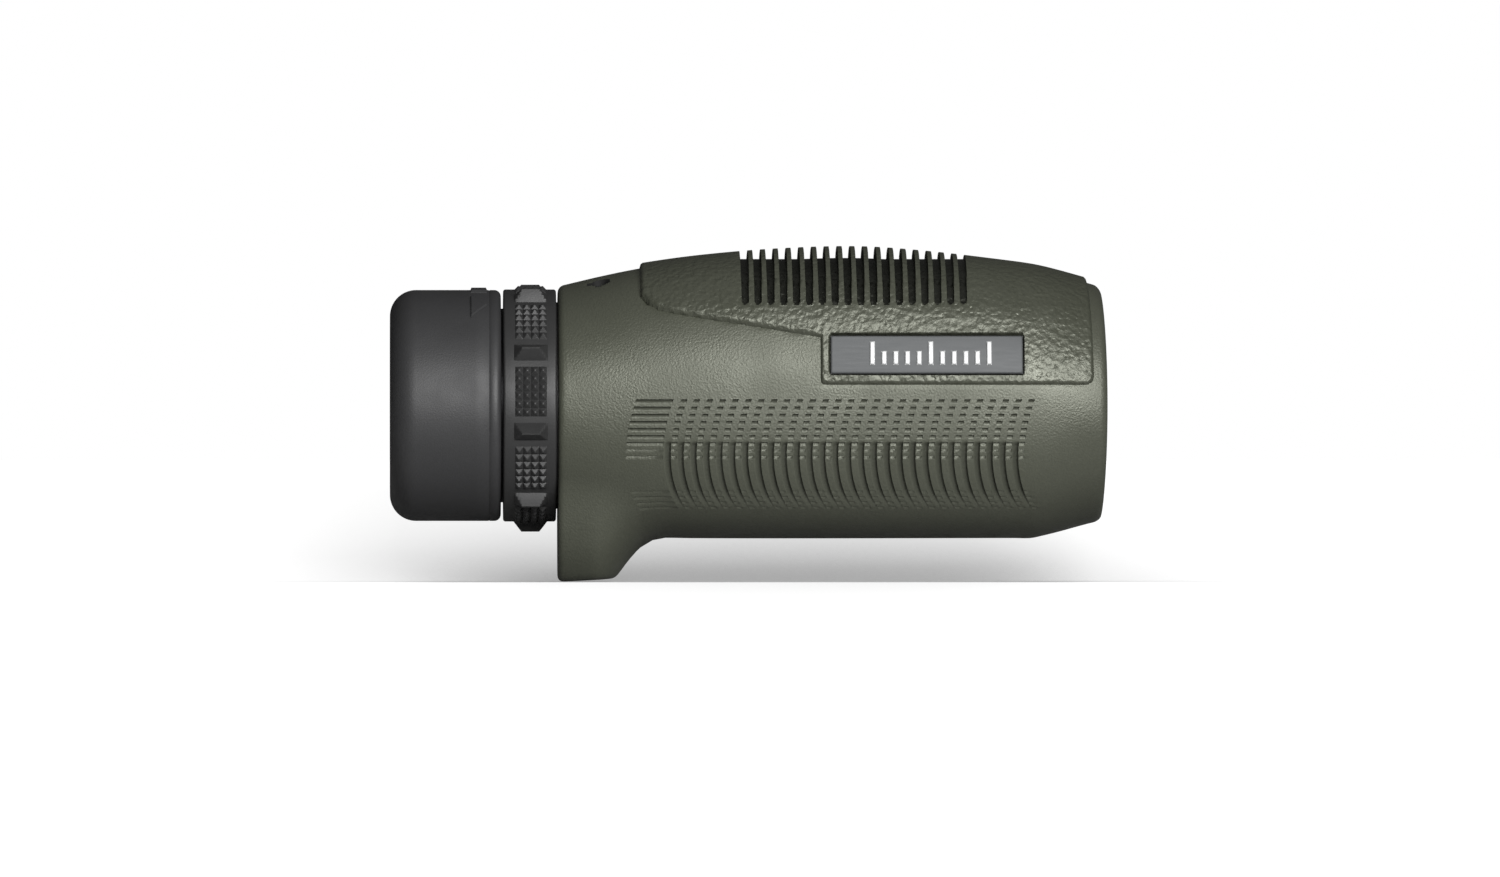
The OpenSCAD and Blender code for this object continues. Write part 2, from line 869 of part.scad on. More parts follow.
module focus_ring_core() {
    reach = focus_turn + cam_spare;
    color(ALLOY)
        difference() {
            tube(core_rear_x, core_front_x, core_out_r, core_in_r);
            for (pin = [0, 180])
                helical_slot(drive_x + reach * cam_rise, pin - reach, pin + reach, -cam_rise,
                    cam_w, core_in_r - 0.6, cam_floor_r);
        }
}

// Hip-roofed finger bump, its ridge along X
module finger_bump(angle) {
    r0 = grip_r - 0.6;
    half = bump_span / 2;
    low = [for (x = [-1, 1], a = [-1, 1]) [bump_x + x * bump_base_l / 2, angle + a * half, r0]];
    high = [for (x = [-1, 1], a = [-1, 1]) [bump_x + x * bump_ridge_l / 2, angle + a * 0.5, bump_r]];
    points = [for (p = concat(low, high)) [p[0], p[2] * cos(p[1]), p[2] * sin(p[1])]];
    polyhedron(points, [
        [0, 1, 3], [0, 3, 2], [4, 6, 7], [4, 7, 5],
        [0, 2, 6], [0, 6, 4], [1, 5, 7], [1, 7, 3],
        [0, 4, 5], [0, 5, 1], [2, 3, 7], [2, 7, 6]
    ]);
}

module focus_ring_grip() {
    edge = 0.4;
    color(BLACK_RUBBER) {
        turned([
            [grip_rear_x, core_out_r], [grip_rear_x, grip_r - edge], [grip_rear_x + edge, grip_r],
            [grip_front_x - edge, grip_r], [grip_front_x, grip_r - edge], [grip_front_x, core_out_r]
        ]);
        for (i = [0:bump_count - 1])
            finger_bump(bump_first + 360 * i / bump_count);
    }
}

// ---------- focus lens ----------

module drive_pegs() {
    for (angle = [0, 180])
        peg(drive_x, angle, 12.9, drive_pin_tip_r, drive_pin_r);
}

module focus_drive_pins() {
    color(STEEL) drive_pegs();
}

module focus_lens_cell() {
    rear = drive_x - lens_cell_half;
    front = drive_x + lens_cell_half;
    color(BLACK_METAL)
        difference() {
            turned([
                [rear, lens_clear_r], [rear, lens_cell_r], [front, lens_cell_r], [front, lens_seat_r],
                [drive_x - 0.5, lens_seat_r], [drive_x - 0.5, lens_clear_r]
            ]);
            drive_pegs();
        }
}

module focus_lens() {
    color(GLASS)
        lens(lens_seat_r, [drive_x + 1.9, focus_lens_r, -1], [drive_x - 0.5, focus_lens_r, 0]);
}

module focus_lens_retainer() {
    color(BLACK_METAL) tube(drive_x + 1.9, drive_x + lens_cell_half, lens_seat_r, lens_clear_r);
}

// ---------- eyecup ----------

// Plastic ring that slides along the ocular housing inside the twisting sleeve
module eyecup_glide_ring() {
    color(PLATE_GREY) tube(glide_x - glide_w / 2, glide_x + glide_w / 2, 17.6, ocular_r + SLIDE_GAP / 2);
}

module eyecup_sleeve() {
    groove = glide_w / 2 + 0.05;
    rise = eyecup_travel / eyecup_twist;
    color(BLACK_METAL)
        difference() {
            turned([
                [sleeve_rear_x, 14], [sleeve_rear_x, sleeve_r], [sleeve_front_x, sleeve_r],
                [sleeve_front_x, sleeve_in_r], [glide_x + groove, sleeve_in_r],
                [glide_x + groove, 17.65], [glide_x - groove, 17.65], [glide_x - groove, sleeve_in_r],
                [-117.5, sleeve_in_r], [-117.5, 14]
            ]);
            for (pin = [0, 180])
                helical_slot(guide_x - slot_spare * rise, pin - slot_spare, pin + eyecup_twist + slot_spare,
                    rise, slot_w, 16, 19);
        }
}

module eyecup_rubber() {
    color(BLACK_RUBBER)
        turned(concat(
            [[cup_front_x, sleeve_r]],
            arc([cup_front_x - cup_front_edge, eyecup_r - cup_front_edge], cup_front_edge, 0, 90, 4),
            arc([cup_rear_x + cup_corner, eyecup_r - cup_corner], cup_corner, 90, 180),
            arc([sleeve_rear_x, cup_lip_r + cup_lip_edge], cup_lip_edge, 180, 270, 4),
            [[sleeve_rear_x, cup_lip_r], [sleeve_rear_x, sleeve_r]]
        ));
}

// ---------- purge screw ----------

module purge_hole() {
    translate([purge_x, 0, purge_low_z - 2]) {
        cylinder(h = 2 + purge_head_h + purge_seal_h, r = purge_head_r, $fn = 48);
        cylinder(h = 10, r = purge_shank_r, $fn = 48);
    }
}

module purge_screw() {
    color(STEEL)
        translate([purge_x, 0, purge_low_z])
            difference() {
                union() {
                    cylinder(h = purge_head_h, r = purge_head_r, $fn = 48);
                    cylinder(h = 2.6, r = purge_shank_r, $fn = 48);
                }
                translate([0, 0, -CUT]) cylinder(h = CUT + 0.5, r = 1, $fn = 6);
            }
}

module purge_screw_seal() {
    color(BLACK_RUBBER)
        translate([purge_x, 0, purge_low_z + purge_head_h])
            difference() {
                cylinder(h = purge_seal_h, r = purge_head_r, $fn = 48);
                translate([0, 0, -CUT]) cylinder(h = 3, r = purge_shank_r, $fn = 48);
            }
}

main_housing();
body_armour();
grip_panel();
name_plate_left();
name_plate_right();
objective_cell();
objective_crown_lens();
objective_flint_lens();
objective_retaining_ring();
objective_seal_ring();
light_baffle();
prism_cage();
pechan_prism();
roof_prism();
prism_gap_shims();
prism_springs();
cage_clamp_ring();
ocular_housing();
ocular_housing_seal();
ocular_lock_screws();
field_stop();
eyepiece_flint_lens();
eyepiece_crown_lens();
eyepiece_spacer();
eye_lens();
eye_lens_seal();
eye_lens_retaining_ring();
eyecup_guide_pins();
focus_circlip();
focus_friction_washer();
focus_seal_rings();
purge_screw();
purge_screw_seal();
focus_ring_core();
focus_ring_grip();
focus_lens_cell();
focus_lens();
focus_lens_retainer();
focus_drive_pins();
eyecup_glide_ring();
eyecup_sleeve();
eyecup_rubber();
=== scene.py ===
import json
import math

import bpy
import numpy as np
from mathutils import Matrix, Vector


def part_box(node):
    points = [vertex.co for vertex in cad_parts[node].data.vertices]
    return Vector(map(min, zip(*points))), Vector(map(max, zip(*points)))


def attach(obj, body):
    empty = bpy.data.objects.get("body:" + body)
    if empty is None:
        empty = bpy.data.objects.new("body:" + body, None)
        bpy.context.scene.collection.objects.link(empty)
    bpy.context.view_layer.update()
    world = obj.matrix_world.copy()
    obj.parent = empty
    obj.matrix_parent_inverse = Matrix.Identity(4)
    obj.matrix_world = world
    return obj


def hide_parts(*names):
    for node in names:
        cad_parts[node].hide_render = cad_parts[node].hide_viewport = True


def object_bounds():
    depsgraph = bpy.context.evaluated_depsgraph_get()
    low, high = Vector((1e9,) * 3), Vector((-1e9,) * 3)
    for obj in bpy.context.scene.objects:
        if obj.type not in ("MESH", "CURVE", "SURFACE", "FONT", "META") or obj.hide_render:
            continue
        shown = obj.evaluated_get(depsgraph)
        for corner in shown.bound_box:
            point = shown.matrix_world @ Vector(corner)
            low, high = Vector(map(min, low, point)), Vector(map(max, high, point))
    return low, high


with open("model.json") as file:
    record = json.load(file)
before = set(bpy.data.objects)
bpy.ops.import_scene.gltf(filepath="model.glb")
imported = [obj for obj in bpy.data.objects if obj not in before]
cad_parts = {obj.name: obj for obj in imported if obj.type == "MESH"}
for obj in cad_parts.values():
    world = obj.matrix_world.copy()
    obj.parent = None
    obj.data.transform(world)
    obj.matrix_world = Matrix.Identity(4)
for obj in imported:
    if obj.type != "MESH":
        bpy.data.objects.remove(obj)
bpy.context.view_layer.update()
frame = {"nodes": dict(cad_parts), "record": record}

# All shapes below are worked out in millimetres, with X along the optical axis and Z up.
MM = 0.001


def extent(node, axis):
    """Lowest and highest place of a CAD node along an axis (0 is X), in millimetres."""
    low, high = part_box(node)
    return low[axis] / MM, high[axis] / MM


# ---------- the body's outlines ----------

ARMOUR_T = 1.3
PANEL_RISE = 0.9
REAR_X, FRONT_X = extent("body_armour", 0)
HALF_W = extent("body_armour", 1)[1]
CROWN_H = extent("grip_panel", 2)[1] - PANEL_RISE
BELLY_H = 22.9
FOOT_H = -extent("body_armour", 2)[0]

SIDE_LINE = [
    (REAR_X, 20.6), (-84, 21.1), (-74, HALF_W - 0.7), (-60, HALF_W - 0.1), (-40, HALF_W),
    (-20, HALF_W - 0.1), (-9, 21.9), (0, 20.6), (FRONT_X, 20.1),
]
TOP_LINE = [
    (REAR_X, 20.5), (-84, 22.3), (-77, 23.7), (-67, CROWN_H - 1.5), (-54, CROWN_H - 0.4),
    (-40, CROWN_H), (-28, CROWN_H - 0.8), (-15, CROWN_H - 2.3), (-9.5, 23.5), (-5, 22.5), (0, 21.2),
    (FRONT_X, 20.5),
]
BELLY_LINE = [
    (REAR_X, 20.6), (-84, 21.8), (-76, BELLY_H - 0.3), (-68, BELLY_H), (-13, BELLY_H),
    (-10, BELLY_H), (-8, BELLY_H - 0.4), (-5, 21.8), (0, 20.5), (FRONT_X, 19.9),
]
SQUARE_LINE = [(REAR_X, 2), (-80, 2.2), (-60, 2.4), (-20, 2.4), (-8, 2.15), (0, 2), (FRONT_X, 2)]

FOOT_FRONT_X = -70.5
FOOT_BLEND = 15.5
FOOT_REACH = 12
FOOT_SPREAD = 55
FOOT_SLOPE = 0.055
FOOT_ROUND = 0.7
FRONT_BOW_R = 400
BOW_START_X = -10


def smooth(t):
    """0 below t = 0, 1 above t = 1, and an S between."""
    t = np.clip(t, 0, 1)
    return t * t * (3 - 2 * t)


def curve(x, line):
    """Height at x of the smooth curve through a line's points."""
    xs, hs = np.array(line, float).T
    slopes = np.empty(len(xs))
    slopes[1:-1] = (hs[2:] - hs[:-2]) / (xs[2:] - xs[:-2])
    slopes[0] = (hs[1] - hs[0]) / (xs[1] - xs[0])
    slopes[-1] = (hs[-1] - hs[-2]) / (xs[-1] - xs[-2])
    i = np.clip(np.searchsorted(xs, x) - 1, 0, len(xs) - 2)
    width = xs[i + 1] - xs[i]
    t = (x - xs[i]) / width
    s = smooth(t)
    bend = (1 - t) * slopes[i] - t * slopes[i + 1]
    return hs[i] * (1 - s) + hs[i + 1] * s + width * t * (1 - t) * bend


def rim_bow(x, z):
    """How far the rounded front end lies behind its foremost point."""
    return z**2 / (2 * FRONT_BOW_R) * smooth((x - BOW_START_X) / (FRONT_X - BOW_START_X))


def body_surface(x, angle, height):
    """Points of the armour's surface moved outward by height; angle runs from +Y towards +Z."""
    power = 2 / curve(x, SQUARE_LINE)
    c, s = np.cos(angle), np.sin(angle)
    half_h = np.where(s >= 0, curve(x, TOP_LINE), curve(x, BELLY_LINE)) + height
    half_w = curve(x, SIDE_LINE) + height
    y = half_w * np.sign(c) * np.abs(c) ** power
    z = half_h * np.sign(s) * np.abs(s) ** power
    away = np.degrees(np.arctan2(np.abs(y), -z))
    share = (1 + np.cos(np.radians(180 * np.minimum(away / FOOT_SPREAD, 1)))) / 2
    grow = 1 + FOOT_REACH * smooth((FOOT_FRONT_X - x) / FOOT_BLEND) ** 2 * share / np.hypot(y, z)
    sole = FOOT_SLOPE * (x - REAR_X) - FOOT_H - height
    z = z * grow
    z = (z + sole + np.hypot(z - sole, FOOT_ROUND)) / 2
    return np.stack([x - rim_bow(x, z), y * grow, z], -1)


def flank_angle(x, z):
    """The surface's angle, from the flank's middle, at which it reaches height z."""
    line_h = curve(x, TOP_LINE) if z >= 0 else curve(x, BELLY_LINE)
    exponent = curve(x, SQUARE_LINE) / 2
    return math.copysign(1, z) * np.arcsin(np.minimum((abs(z) / line_h) ** exponent, 1))


class Rows:
    """Lines along the body, as (z, share): at height z, or that share of the way to crown or belly."""

    def __init__(self, right_side):
        self.rows = [(-1, z, share) for z, share in right_side]
        left_side = [(1, z, share) for z, share in reversed(right_side)]
        centres = 1 if right_side[-1][1] == 1 else 0
        wraps = 1 if right_side[0][1] == 1 else 0
        self.rows += left_side[centres:len(left_side) - wraps]

    def angles(self, x):
        """Angles of all rows at the places x, which has one column for each row."""
        columns = []
        for i, (side, z, share) in enumerate(self.rows):
            base = flank_angle(x[..., i], z)
            angle = base + share * (math.copysign(math.pi / 2, z) - base)
            columns.append(angle if side > 0 else math.pi - angle)
        return np.stack(columns, -1)


# ---------- meshes ----------

def new_piece(name, points, faces, material, body, sharp=40):
    """A mesh piece from points in millimetres, its faces turned outward, that rides on a body."""
    points = np.asarray(points, float)
    triangles = np.array([(f[0], f[k], f[k + 1]) for f in faces for k in range(1, len(f) - 1)])
    a, b, c = (points[triangles[:, k]] for k in range(3))
    if np.einsum("ij,ij->", a, np.cross(b, c)) < 0:
        faces = [tuple(f)[::-1] for f in faces]
    mesh = bpy.data.meshes.new(name)
    mesh.from_pydata((points * MM).tolist(), [], [tuple(map(int, f)) for f in faces])
    mesh.polygons.foreach_set("use_smooth", [True] * len(mesh.polygons))
    mesh.set_sharp_from_angle(angle=math.radians(sharp))
    mesh.materials.append(material)
    piece = bpy.data.objects.new(name, mesh)
    bpy.context.scene.collection.objects.link(piece)
    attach(piece, body)
    return piece


def grid_faces(count_u, count_v, wrap_u=True, wrap_v=True):
    """Quads of a grid of points that may close on itself either way."""
    u = np.arange(count_u if wrap_u else count_u - 1)
    v = np.arange(count_v if wrap_v else count_v - 1)
    u, v = (g.ravel() for g in np.meshgrid(u, v, indexing="ij"))
    u1, v1 = (u + 1) % count_u, (v + 1) % count_v
    return np.stack([u * count_v + v, u1 * count_v + v, u1 * count_v + v1, u * count_v + v1], -1)


def capped_faces(rings, sides):
    """Faces of a stack of rings closed by two tips, which are the last two points."""
    faces = [tuple(f) for f in grid_faces(rings, sides, False, True)]
    first_tip, last_tip = rings * sides, rings * sides + 1
    for j in range(sides):
        k = (j + 1) % sides
        faces.append((first_tip, j, k))
        faces.append((last_tip, first_tip - sides + k, first_tip - sides + j))
    return faces


def turned_points(profile, turns):
    """Points of a profile [(x, r)] turned about the optical axis."""
    x, r = np.array(profile, float).T
    angle = np.arange(turns) * 2 * math.pi / turns
    return np.stack([
        np.repeat(x[:, None], turns, 1), np.outer(r, np.cos(angle)), np.outer(r, np.sin(angle))
    ], -1)


def arc(x, r, radius, start, end, steps):
    """Profile points of an arc about (x, r), its angles in degrees from +X towards the rim."""
    return [
        (x + radius * math.cos(math.radians(a)), r + radius * math.sin(math.radians(a)))
        for a in np.linspace(start, end, steps + 1)
    ]


def turned_piece(name, profile, turns, material, body):
    """A solid of revolution from a closed profile that doesn't touch the axis."""
    faces = grid_faces(len(profile), turns)
    return new_piece(name, turned_points(profile, turns).reshape(-1, 3), faces, material, body)


def store(piece, name, values):
    """Keeps a value for each of a piece's points, for its material to read."""
    attribute = piece.data.attributes.new(name, "FLOAT", "POINT")
    attribute.data.foreach_set("value", np.asarray(values, np.float32))


def slab_piece(name, top, bottom, keep, material, body, sharp, painted_shade=None):
    """A closed slab between two grids of points, over the cells that keep marks."""
    count_u, count_v = top.shape[:2]
    upper = grid_faces(count_u, count_v, False, False)[keep.ravel()]
    lower = upper[:, ::-1] + count_u * count_v
    edges = np.concatenate([upper[:, [k, (k + 1) % 4]] for k in range(4)])
    known = set(map(tuple, edges.tolist()))
    rim = [(a, b) for a, b in known if (b, a) not in known]
    shift = count_u * count_v
    walls = [(b, a, a + shift, b + shift) for a, b in sorted(rim)]
    faces = np.concatenate([upper, lower, np.array(walls)])
    used, compact = np.unique(faces, return_inverse=True)
    points = np.concatenate([top.reshape(-1, 3), bottom.reshape(-1, 3)])[used]
    piece = new_piece(name, points, compact.reshape(faces.shape), material, body, sharp)
    # Painted shade for the material: as given on the top, full on the underside.
    if painted_shade is not None:
        store(piece, "painted_shade", np.concatenate([painted_shade.ravel(), np.ones(shift)])[used])
    return piece


# ---------- materials ----------

def rgb(red, green, blue):
    """Linear colour from a display colour of 0 to 255."""
    def linear(level):
        return ((level / 255 + 0.055) / 1.055) ** 2.4 if level > 10 else level / 255 / 12.92

    return [linear(level) for level in (red, green, blue)] + [1]


class Paint:
    """A material under construction, with its shader and a texture space in metres."""

    def __init__(self, name, color, roughness, metallic=0.0):
        self.material = bpy.data.materials.new(name)
        self.material.use_nodes = True
        self.tree = self.material.node_tree
        self.shader = self.tree.nodes["Principled BSDF"]
        self.shader.inputs["Base Color"].default_value = color
        self.shader.inputs["Roughness"].default_value = roughness
        self.shader.inputs["Metallic"].default_value = metallic
        self.color = color
        self.roughness = roughness
        self.space = self.tree.nodes.new("ShaderNodeTexCoord").outputs["Object"]

    def link(self, source, target):
        self.tree.links.new(source, target)

    def stretched(self, scale):
        """The texture space scaled by (x, y, z)."""
        mapping = self.tree.nodes.new("ShaderNodeMapping")
        mapping.inputs["Scale"].default_value = scale
        self.link(self.space, mapping.inputs["Vector"])
        return mapping.outputs["Vector"]

    def noise(self, feature_mm, detail=2.0, space=None):
        """Cloudy noise with features of that size."""
        node = self.tree.nodes.new("ShaderNodeTexNoise")
        node.inputs["Scale"].default_value = 1 / (feature_mm * MM)
        node.inputs["Detail"].default_value = detail
        self.link(space or self.space, node.inputs["Vector"])
        return node.outputs["Fac"]

    def cells(self, feature_mm, warp):
        """Rounded cells of that size, their outlines bent by a share of it."""
        bend = self.tree.nodes.new("ShaderNodeTexNoise")
        bend.inputs["Scale"].default_value = 1 / (feature_mm * MM)
        self.link(self.space, bend.inputs["Vector"])
        mix = self.tree.nodes.new("ShaderNodeVectorMath")
        mix.operation = "MULTIPLY_ADD"
        mix.inputs[1].default_value = [warp * feature_mm * MM] * 3
        self.link(bend.outputs["Color"], mix.inputs[0])
        self.link(self.space, mix.inputs[2])
        node = self.tree.nodes.new("ShaderNodeTexVoronoi")
        node.feature = "SMOOTH_F1"
        node.inputs["Scale"].default_value = 1 / (feature_mm * MM)
        self.link(mix.outputs["Vector"], node.inputs["Vector"])
        return node.outputs["Distance"]

    def spread(self, source, low, high, from_low=0.3, from_high=0.7):
        """source mapped to the range low to high."""
        node = self.tree.nodes.new("ShaderNodeMapRange")
        node.inputs["From Min"].default_value = from_low
        node.inputs["From Max"].default_value = from_high
        node.inputs["To Min"].default_value = low
        node.inputs["To Max"].default_value = high
        self.link(source, node.inputs["Value"])
        return node.outputs["Result"]

    def tint(self, source, amount):
        """Base colour lighter and darker by a share of itself."""
        mix = self.tree.nodes.new("ShaderNodeMix")
        mix.data_type = "RGBA"
        mix.inputs["A"].default_value = [c * (1 - amount) for c in self.color[:3]] + [1]
        mix.inputs["B"].default_value = [c * (1 + amount) for c in self.color[:3]] + [1]
        self.link(self.spread(source, 0, 1), mix.inputs["Factor"])
        self.link(mix.outputs["Result"], self.shader.inputs["Base Color"])

    def darken(self, attribute, shade):
        """Base colour down to that share of itself where a stored value is 1."""
        node = self.tree.nodes.new("ShaderNodeAttribute")
        node.attribute_name = attribute
        mix = self.tree.nodes.new("ShaderNodeMix")
        mix.data_type = "RGBA"
        mix.blend_type = "MULTIPLY"
        mix.inputs["B"].default_value = [shade] * 3 + [1]
        self.link(node.outputs["Fac"], mix.inputs["Factor"])
        self.link(self.shader.inputs["Base Color"].links[0].from_socket, mix.inputs["A"])
        self.link(mix.outputs["Result"], self.shader.inputs["Base Color"])

    def shine(self, level, tint=None):
        """Strength and colour of the surface's reflection."""
        self.shader.inputs["Specular IOR Level"].default_value = level
        if tint:
            self.shader.inputs["Specular Tint"].default_value = tint

    def rough(self, source, amount):
        """Roughness that varies by an amount each way."""
        self.link(self.spread(source, self.roughness - amount, self.roughness + amount),
                  self.shader.inputs["Roughness"])

    def bump(self, source, depth_mm):
        """Relief of that depth, on top of any relief before it."""
        node = self.tree.nodes.new("ShaderNodeBump")
        node.inputs["Distance"].default_value = depth_mm * MM
        node.inputs["Strength"].default_value = 1.0
        self.link(source, node.inputs["Height"])
        normal = self.shader.inputs["Normal"]
        if normal.is_linked:
            self.link(normal.links[0].from_socket, node.inputs["Normal"])
        self.link(node.outputs["Normal"], normal)


GREEN_SHEEN = (0.97, 1.0, 0.86, 1.0)


def armour_rubber():
    """Olive green rubber with a fine eroded speckle."""
    paint = Paint("armour_rubber", rgb(72, 74, 64), 0.47)
    paint.shine(0.9, GREEN_SHEEN)
    speckle = paint.noise(0.35, 3)
    paint.tint(speckle, 0.1)
    # Painted shade: the base colour falls to 0.4 of itself in the grip's slits and between its ribs,
    # where shade falls.
    paint.darken("painted_shade", 0.4)
    paint.rough(paint.noise(9), 0.05)
    paint.bump(speckle, 0.08)
    return paint.material


def panel_rubber():
    """Darker green rubber with a crinkled leather grain."""
    paint = Paint("panel_rubber", rgb(68, 70, 60), 0.43)
    paint.shine(0.9, GREEN_SHEEN)
    grain = paint.cells(0.9, 0.9)
    paint.tint(paint.noise(0.5, 3), 0.1)
    # Painted shade: the base colour falls to 0.06 of itself in the crown grooves, in the gap round the
    # name plate and on the panel's underside.
    paint.darken("painted_shade", 0.06)
    paint.rough(paint.noise(7), 0.05)
    paint.bump(grain, 0.2)
    paint.bump(paint.noise(0.3, 2), 0.05)
    return paint.material


def cup_rubber():
    """Satin black rubber of the eyecup."""
    paint = Paint("cup_rubber", rgb(52, 52, 53), 0.55)
    paint.shine(0.65)
    grain = paint.noise(0.28, 2)
    paint.tint(grain, 0.06)
    paint.rough(paint.noise(6), 0.05)
    paint.bump(grain, 0.03)
    return paint.material


def ring_rubber():
    """Harder black rubber of the focus ring."""
    paint = Paint("ring_rubber", rgb(48, 48, 48), 0.5)
    paint.shine(0.55)
    grain = paint.noise(0.3, 2)
    paint.tint(grain, 0.06)
    paint.rough(paint.noise(4), 0.05)
    paint.bump(grain, 0.02)
    return paint.material


def seal_rubber():
    """Smooth black rubber of seals."""
    paint = Paint("seal_rubber", rgb(38, 38, 38), 0.45)
    paint.rough(paint.noise(2), 0.06)
    paint.bump(paint.noise(0.2), 0.01)
    return paint.material


def black_metal():
    """Matte black anodised aluminium with faint turning marks along the axis."""
    paint = Paint("black_metal", rgb(34, 34, 36), 0.42, 0.6)
    rings = paint.noise(0.3, 1, paint.stretched((1, 0.02, 0.02)))
    paint.rough(rings, 0.08)
    paint.bump(rings, 0.01)
    return paint.material


def housing_alloy():
    """Satin anodised alloy with a bead-blasted surface."""
    paint = Paint("housing_alloy", rgb(132, 134, 138), 0.4, 0.9)
    paint.rough(paint.noise(3), 0.07)
    paint.bump(paint.noise(0.25, 3), 0.02)
    return paint.material


def black_plastic():
    """Matte moulded plastic."""
    paint = Paint("black_plastic", rgb(46, 46, 46), 0.5)
    paint.rough(paint.noise(2), 0.06)
    paint.bump(paint.noise(0.3, 2), 0.015)
    return paint.material


def plate_metal():
    """Grey anodised plate, brushed along its length."""
    paint = Paint("plate_metal", rgb(90, 92, 93), 0.58, 0.2)
    brushed = paint.noise(0.25, 3, paint.stretched((0.04, 1, 1)))
    paint.tint(brushed, 0.05)
    paint.rough(brushed, 0.05)
    paint.bump(brushed, 0.008)
    return paint.material


def mark_metal():
    """Bright satin metal of the raised marks on the plate."""
    paint = Paint("mark_metal", rgb(214, 215, 215), 0.45, 0.2)
    paint.rough(paint.noise(0.6), 0.06)
    paint.bump(paint.noise(0.2), 0.008)
    return paint.material


def steel():
    """Fine brushed steel."""
    paint = Paint("steel", rgb(200, 201, 204), 0.28, 1.0)
    brushed = paint.noise(0.3, 2, paint.stretched((0.05, 1, 1)))
    paint.rough(brushed, 0.07)
    paint.bump(brushed, 0.006)
    return paint.material


def glass(name, color, coating=None):
    """Optical glass, with an anti-reflection coating's colour if given."""
    paint = Paint(name, color, 0.02)
    paint.shader.inputs["Transmission Weight"].default_value = 1.0
    paint.shader.inputs["IOR"].default_value = 1.52
    if coating:
        paint.shader.inputs["Specular Tint"].default_value = coating
    paint.rough(paint.noise(6), 0.01)
    return paint.material


def painted_hole_shade():
    """Black painted shade inside the lanyard holes: a dark sheet where there is only shade."""
    paint = Paint("painted_hole_shade", rgb(18, 18, 17), 0.8)
    paint.bump(paint.noise(0.3), 0.02)
    return paint.material


ARMOUR = armour_rubber()
PANEL = panel_rubber()
CUP = cup_rubber()
RING = ring_rubber()
PLATE = plate_metal()
MARKS = mark_metal()
HOLE_SHADE_PAINT = painted_hole_shade()
COATED = glass("coated_glass", rgb(250, 255, 252), rgb(120, 235, 170))
BY_SLOT = {
    "housing_alloy": housing_alloy(),
    "black_metal": black_metal(),
    "black_plastic": black_plastic(),
    "black_rubber": seal_rubber(),
    "armour_rubber": ARMOUR,
    "grip_rubber": PANEL,
    "plate": PLATE,
    "steel": steel(),
    "glass": glass("plain_glass", rgb(248, 252, 252)),
    "coated_glass": COATED,
}


def repaint_cad_nodes():
    """Gives every CAD node the material of its slot in the record."""
    for subpart in frame["record"]["subparts"]:
        mesh = frame["nodes"][subpart["node"]].data
        mesh.materials.clear()
        mesh.materials.append(BY_SLOT[subpart["material_slot"]])


# ---------- grip panel outline and its grooves ----------

PANEL_REAR_X = extent("grip_panel", 0)[0]
PANEL_STEP_X = -46.75
PANEL_LOW_Z = 3.5
SWEEP_FRONT_X = -40
SWEEP_LEAN = 0.98
PANEL_SWEEP = [
    (PANEL_REAR_X, 18.4), (-74.5, 16.4), (-68.3, 15.1), (-57, 13.3), (-47, 11.7), (SWEEP_FRONT_X, 10.6),
]
PANEL_MARGIN = 2.35
PANEL_CORNER = 1.5
PANEL_STEP_CORNER = PANEL_CORNER * 0.6
GROOVE_COUNT = 18
GROOVE_PITCH = 2.2
GROOVE_MID_X = -40.9
GROOVE_LOW_Z = 17
GROOVE_HALF_W, GROOVE_WIDENING, GROOVE_WIDENING_H = 0.55, 0.1, 8
GROOVE_FLOOR = -1.15
GROOVE_FLOOR_Z = 25.25
FIRST_GROOVE_X = GROOVE_MID_X - (GROOVE_COUNT - 1) * GROOVE_PITCH / 2

PLATE_REAR_X, PLATE_FRONT_X = extent("name_plate_right", 0)
PLATE_LOW_Z, PLATE_TOP_Z = extent("name_plate_right", 2)
PLATE_GAP = 0.2


def corner_depth(a, b, radius):
    """Depth inside a corner between two straight sides that are a and b away, rounded."""
    round_depth = radius - np.hypot(radius - a, radius - b)
    return np.where((a < radius) & (b < radius), round_depth, np.minimum(a, b))


def panel_depth(x, z):
    """How deep a point lies inside the panel's outline in side view; below 0 outside."""
    front = FRONT_X - PANEL_MARGIN - rim_bow(FRONT_X, z) - x
    swept = (z - curve(np.clip(x, PANEL_REAR_X, SWEEP_FRONT_X), PANEL_SWEEP)) * SWEEP_LEAN
    rear_part = np.minimum(swept, np.minimum(x - PANEL_REAR_X, front))
    front_part = np.minimum(
        corner_depth(x - PANEL_STEP_X, z - PANEL_LOW_Z, PANEL_STEP_CORNER),
        corner_depth(front, z - PANEL_LOW_Z, PANEL_CORNER),
    )
    return np.maximum(rear_part, front_part)


def groove_depth(x, z):
    """How deep a point lies inside the nearest groove over the crown; below 0 outside."""
    nearest = np.clip(np.round((x - FIRST_GROOVE_X) / GROOVE_PITCH), 0, GROOVE_COUNT - 1)
    off_x = x - FIRST_GROOVE_X - nearest * GROOVE_PITCH
    half = GROOVE_HALF_W + GROOVE_WIDENING * smooth((z - GROOVE_LOW_Z) / GROOVE_WIDENING_H)
    low = GROOVE_LOW_Z + half
    return half - np.where(z < low, np.hypot(off_x, z - low), np.abs(off_x))


def plate_depth(x, z, margin, radius):
    """How deep a point lies inside the name plate's outline grown by a margin."""
    a = np.minimum(x - PLATE_REAR_X, PLATE_FRONT_X - x) + margin
    b = np.minimum(z - PLATE_LOW_Z, PLATE_TOP_Z - z) + margin
    return corner_depth(a, b, radius)


# ---------- armour ----------

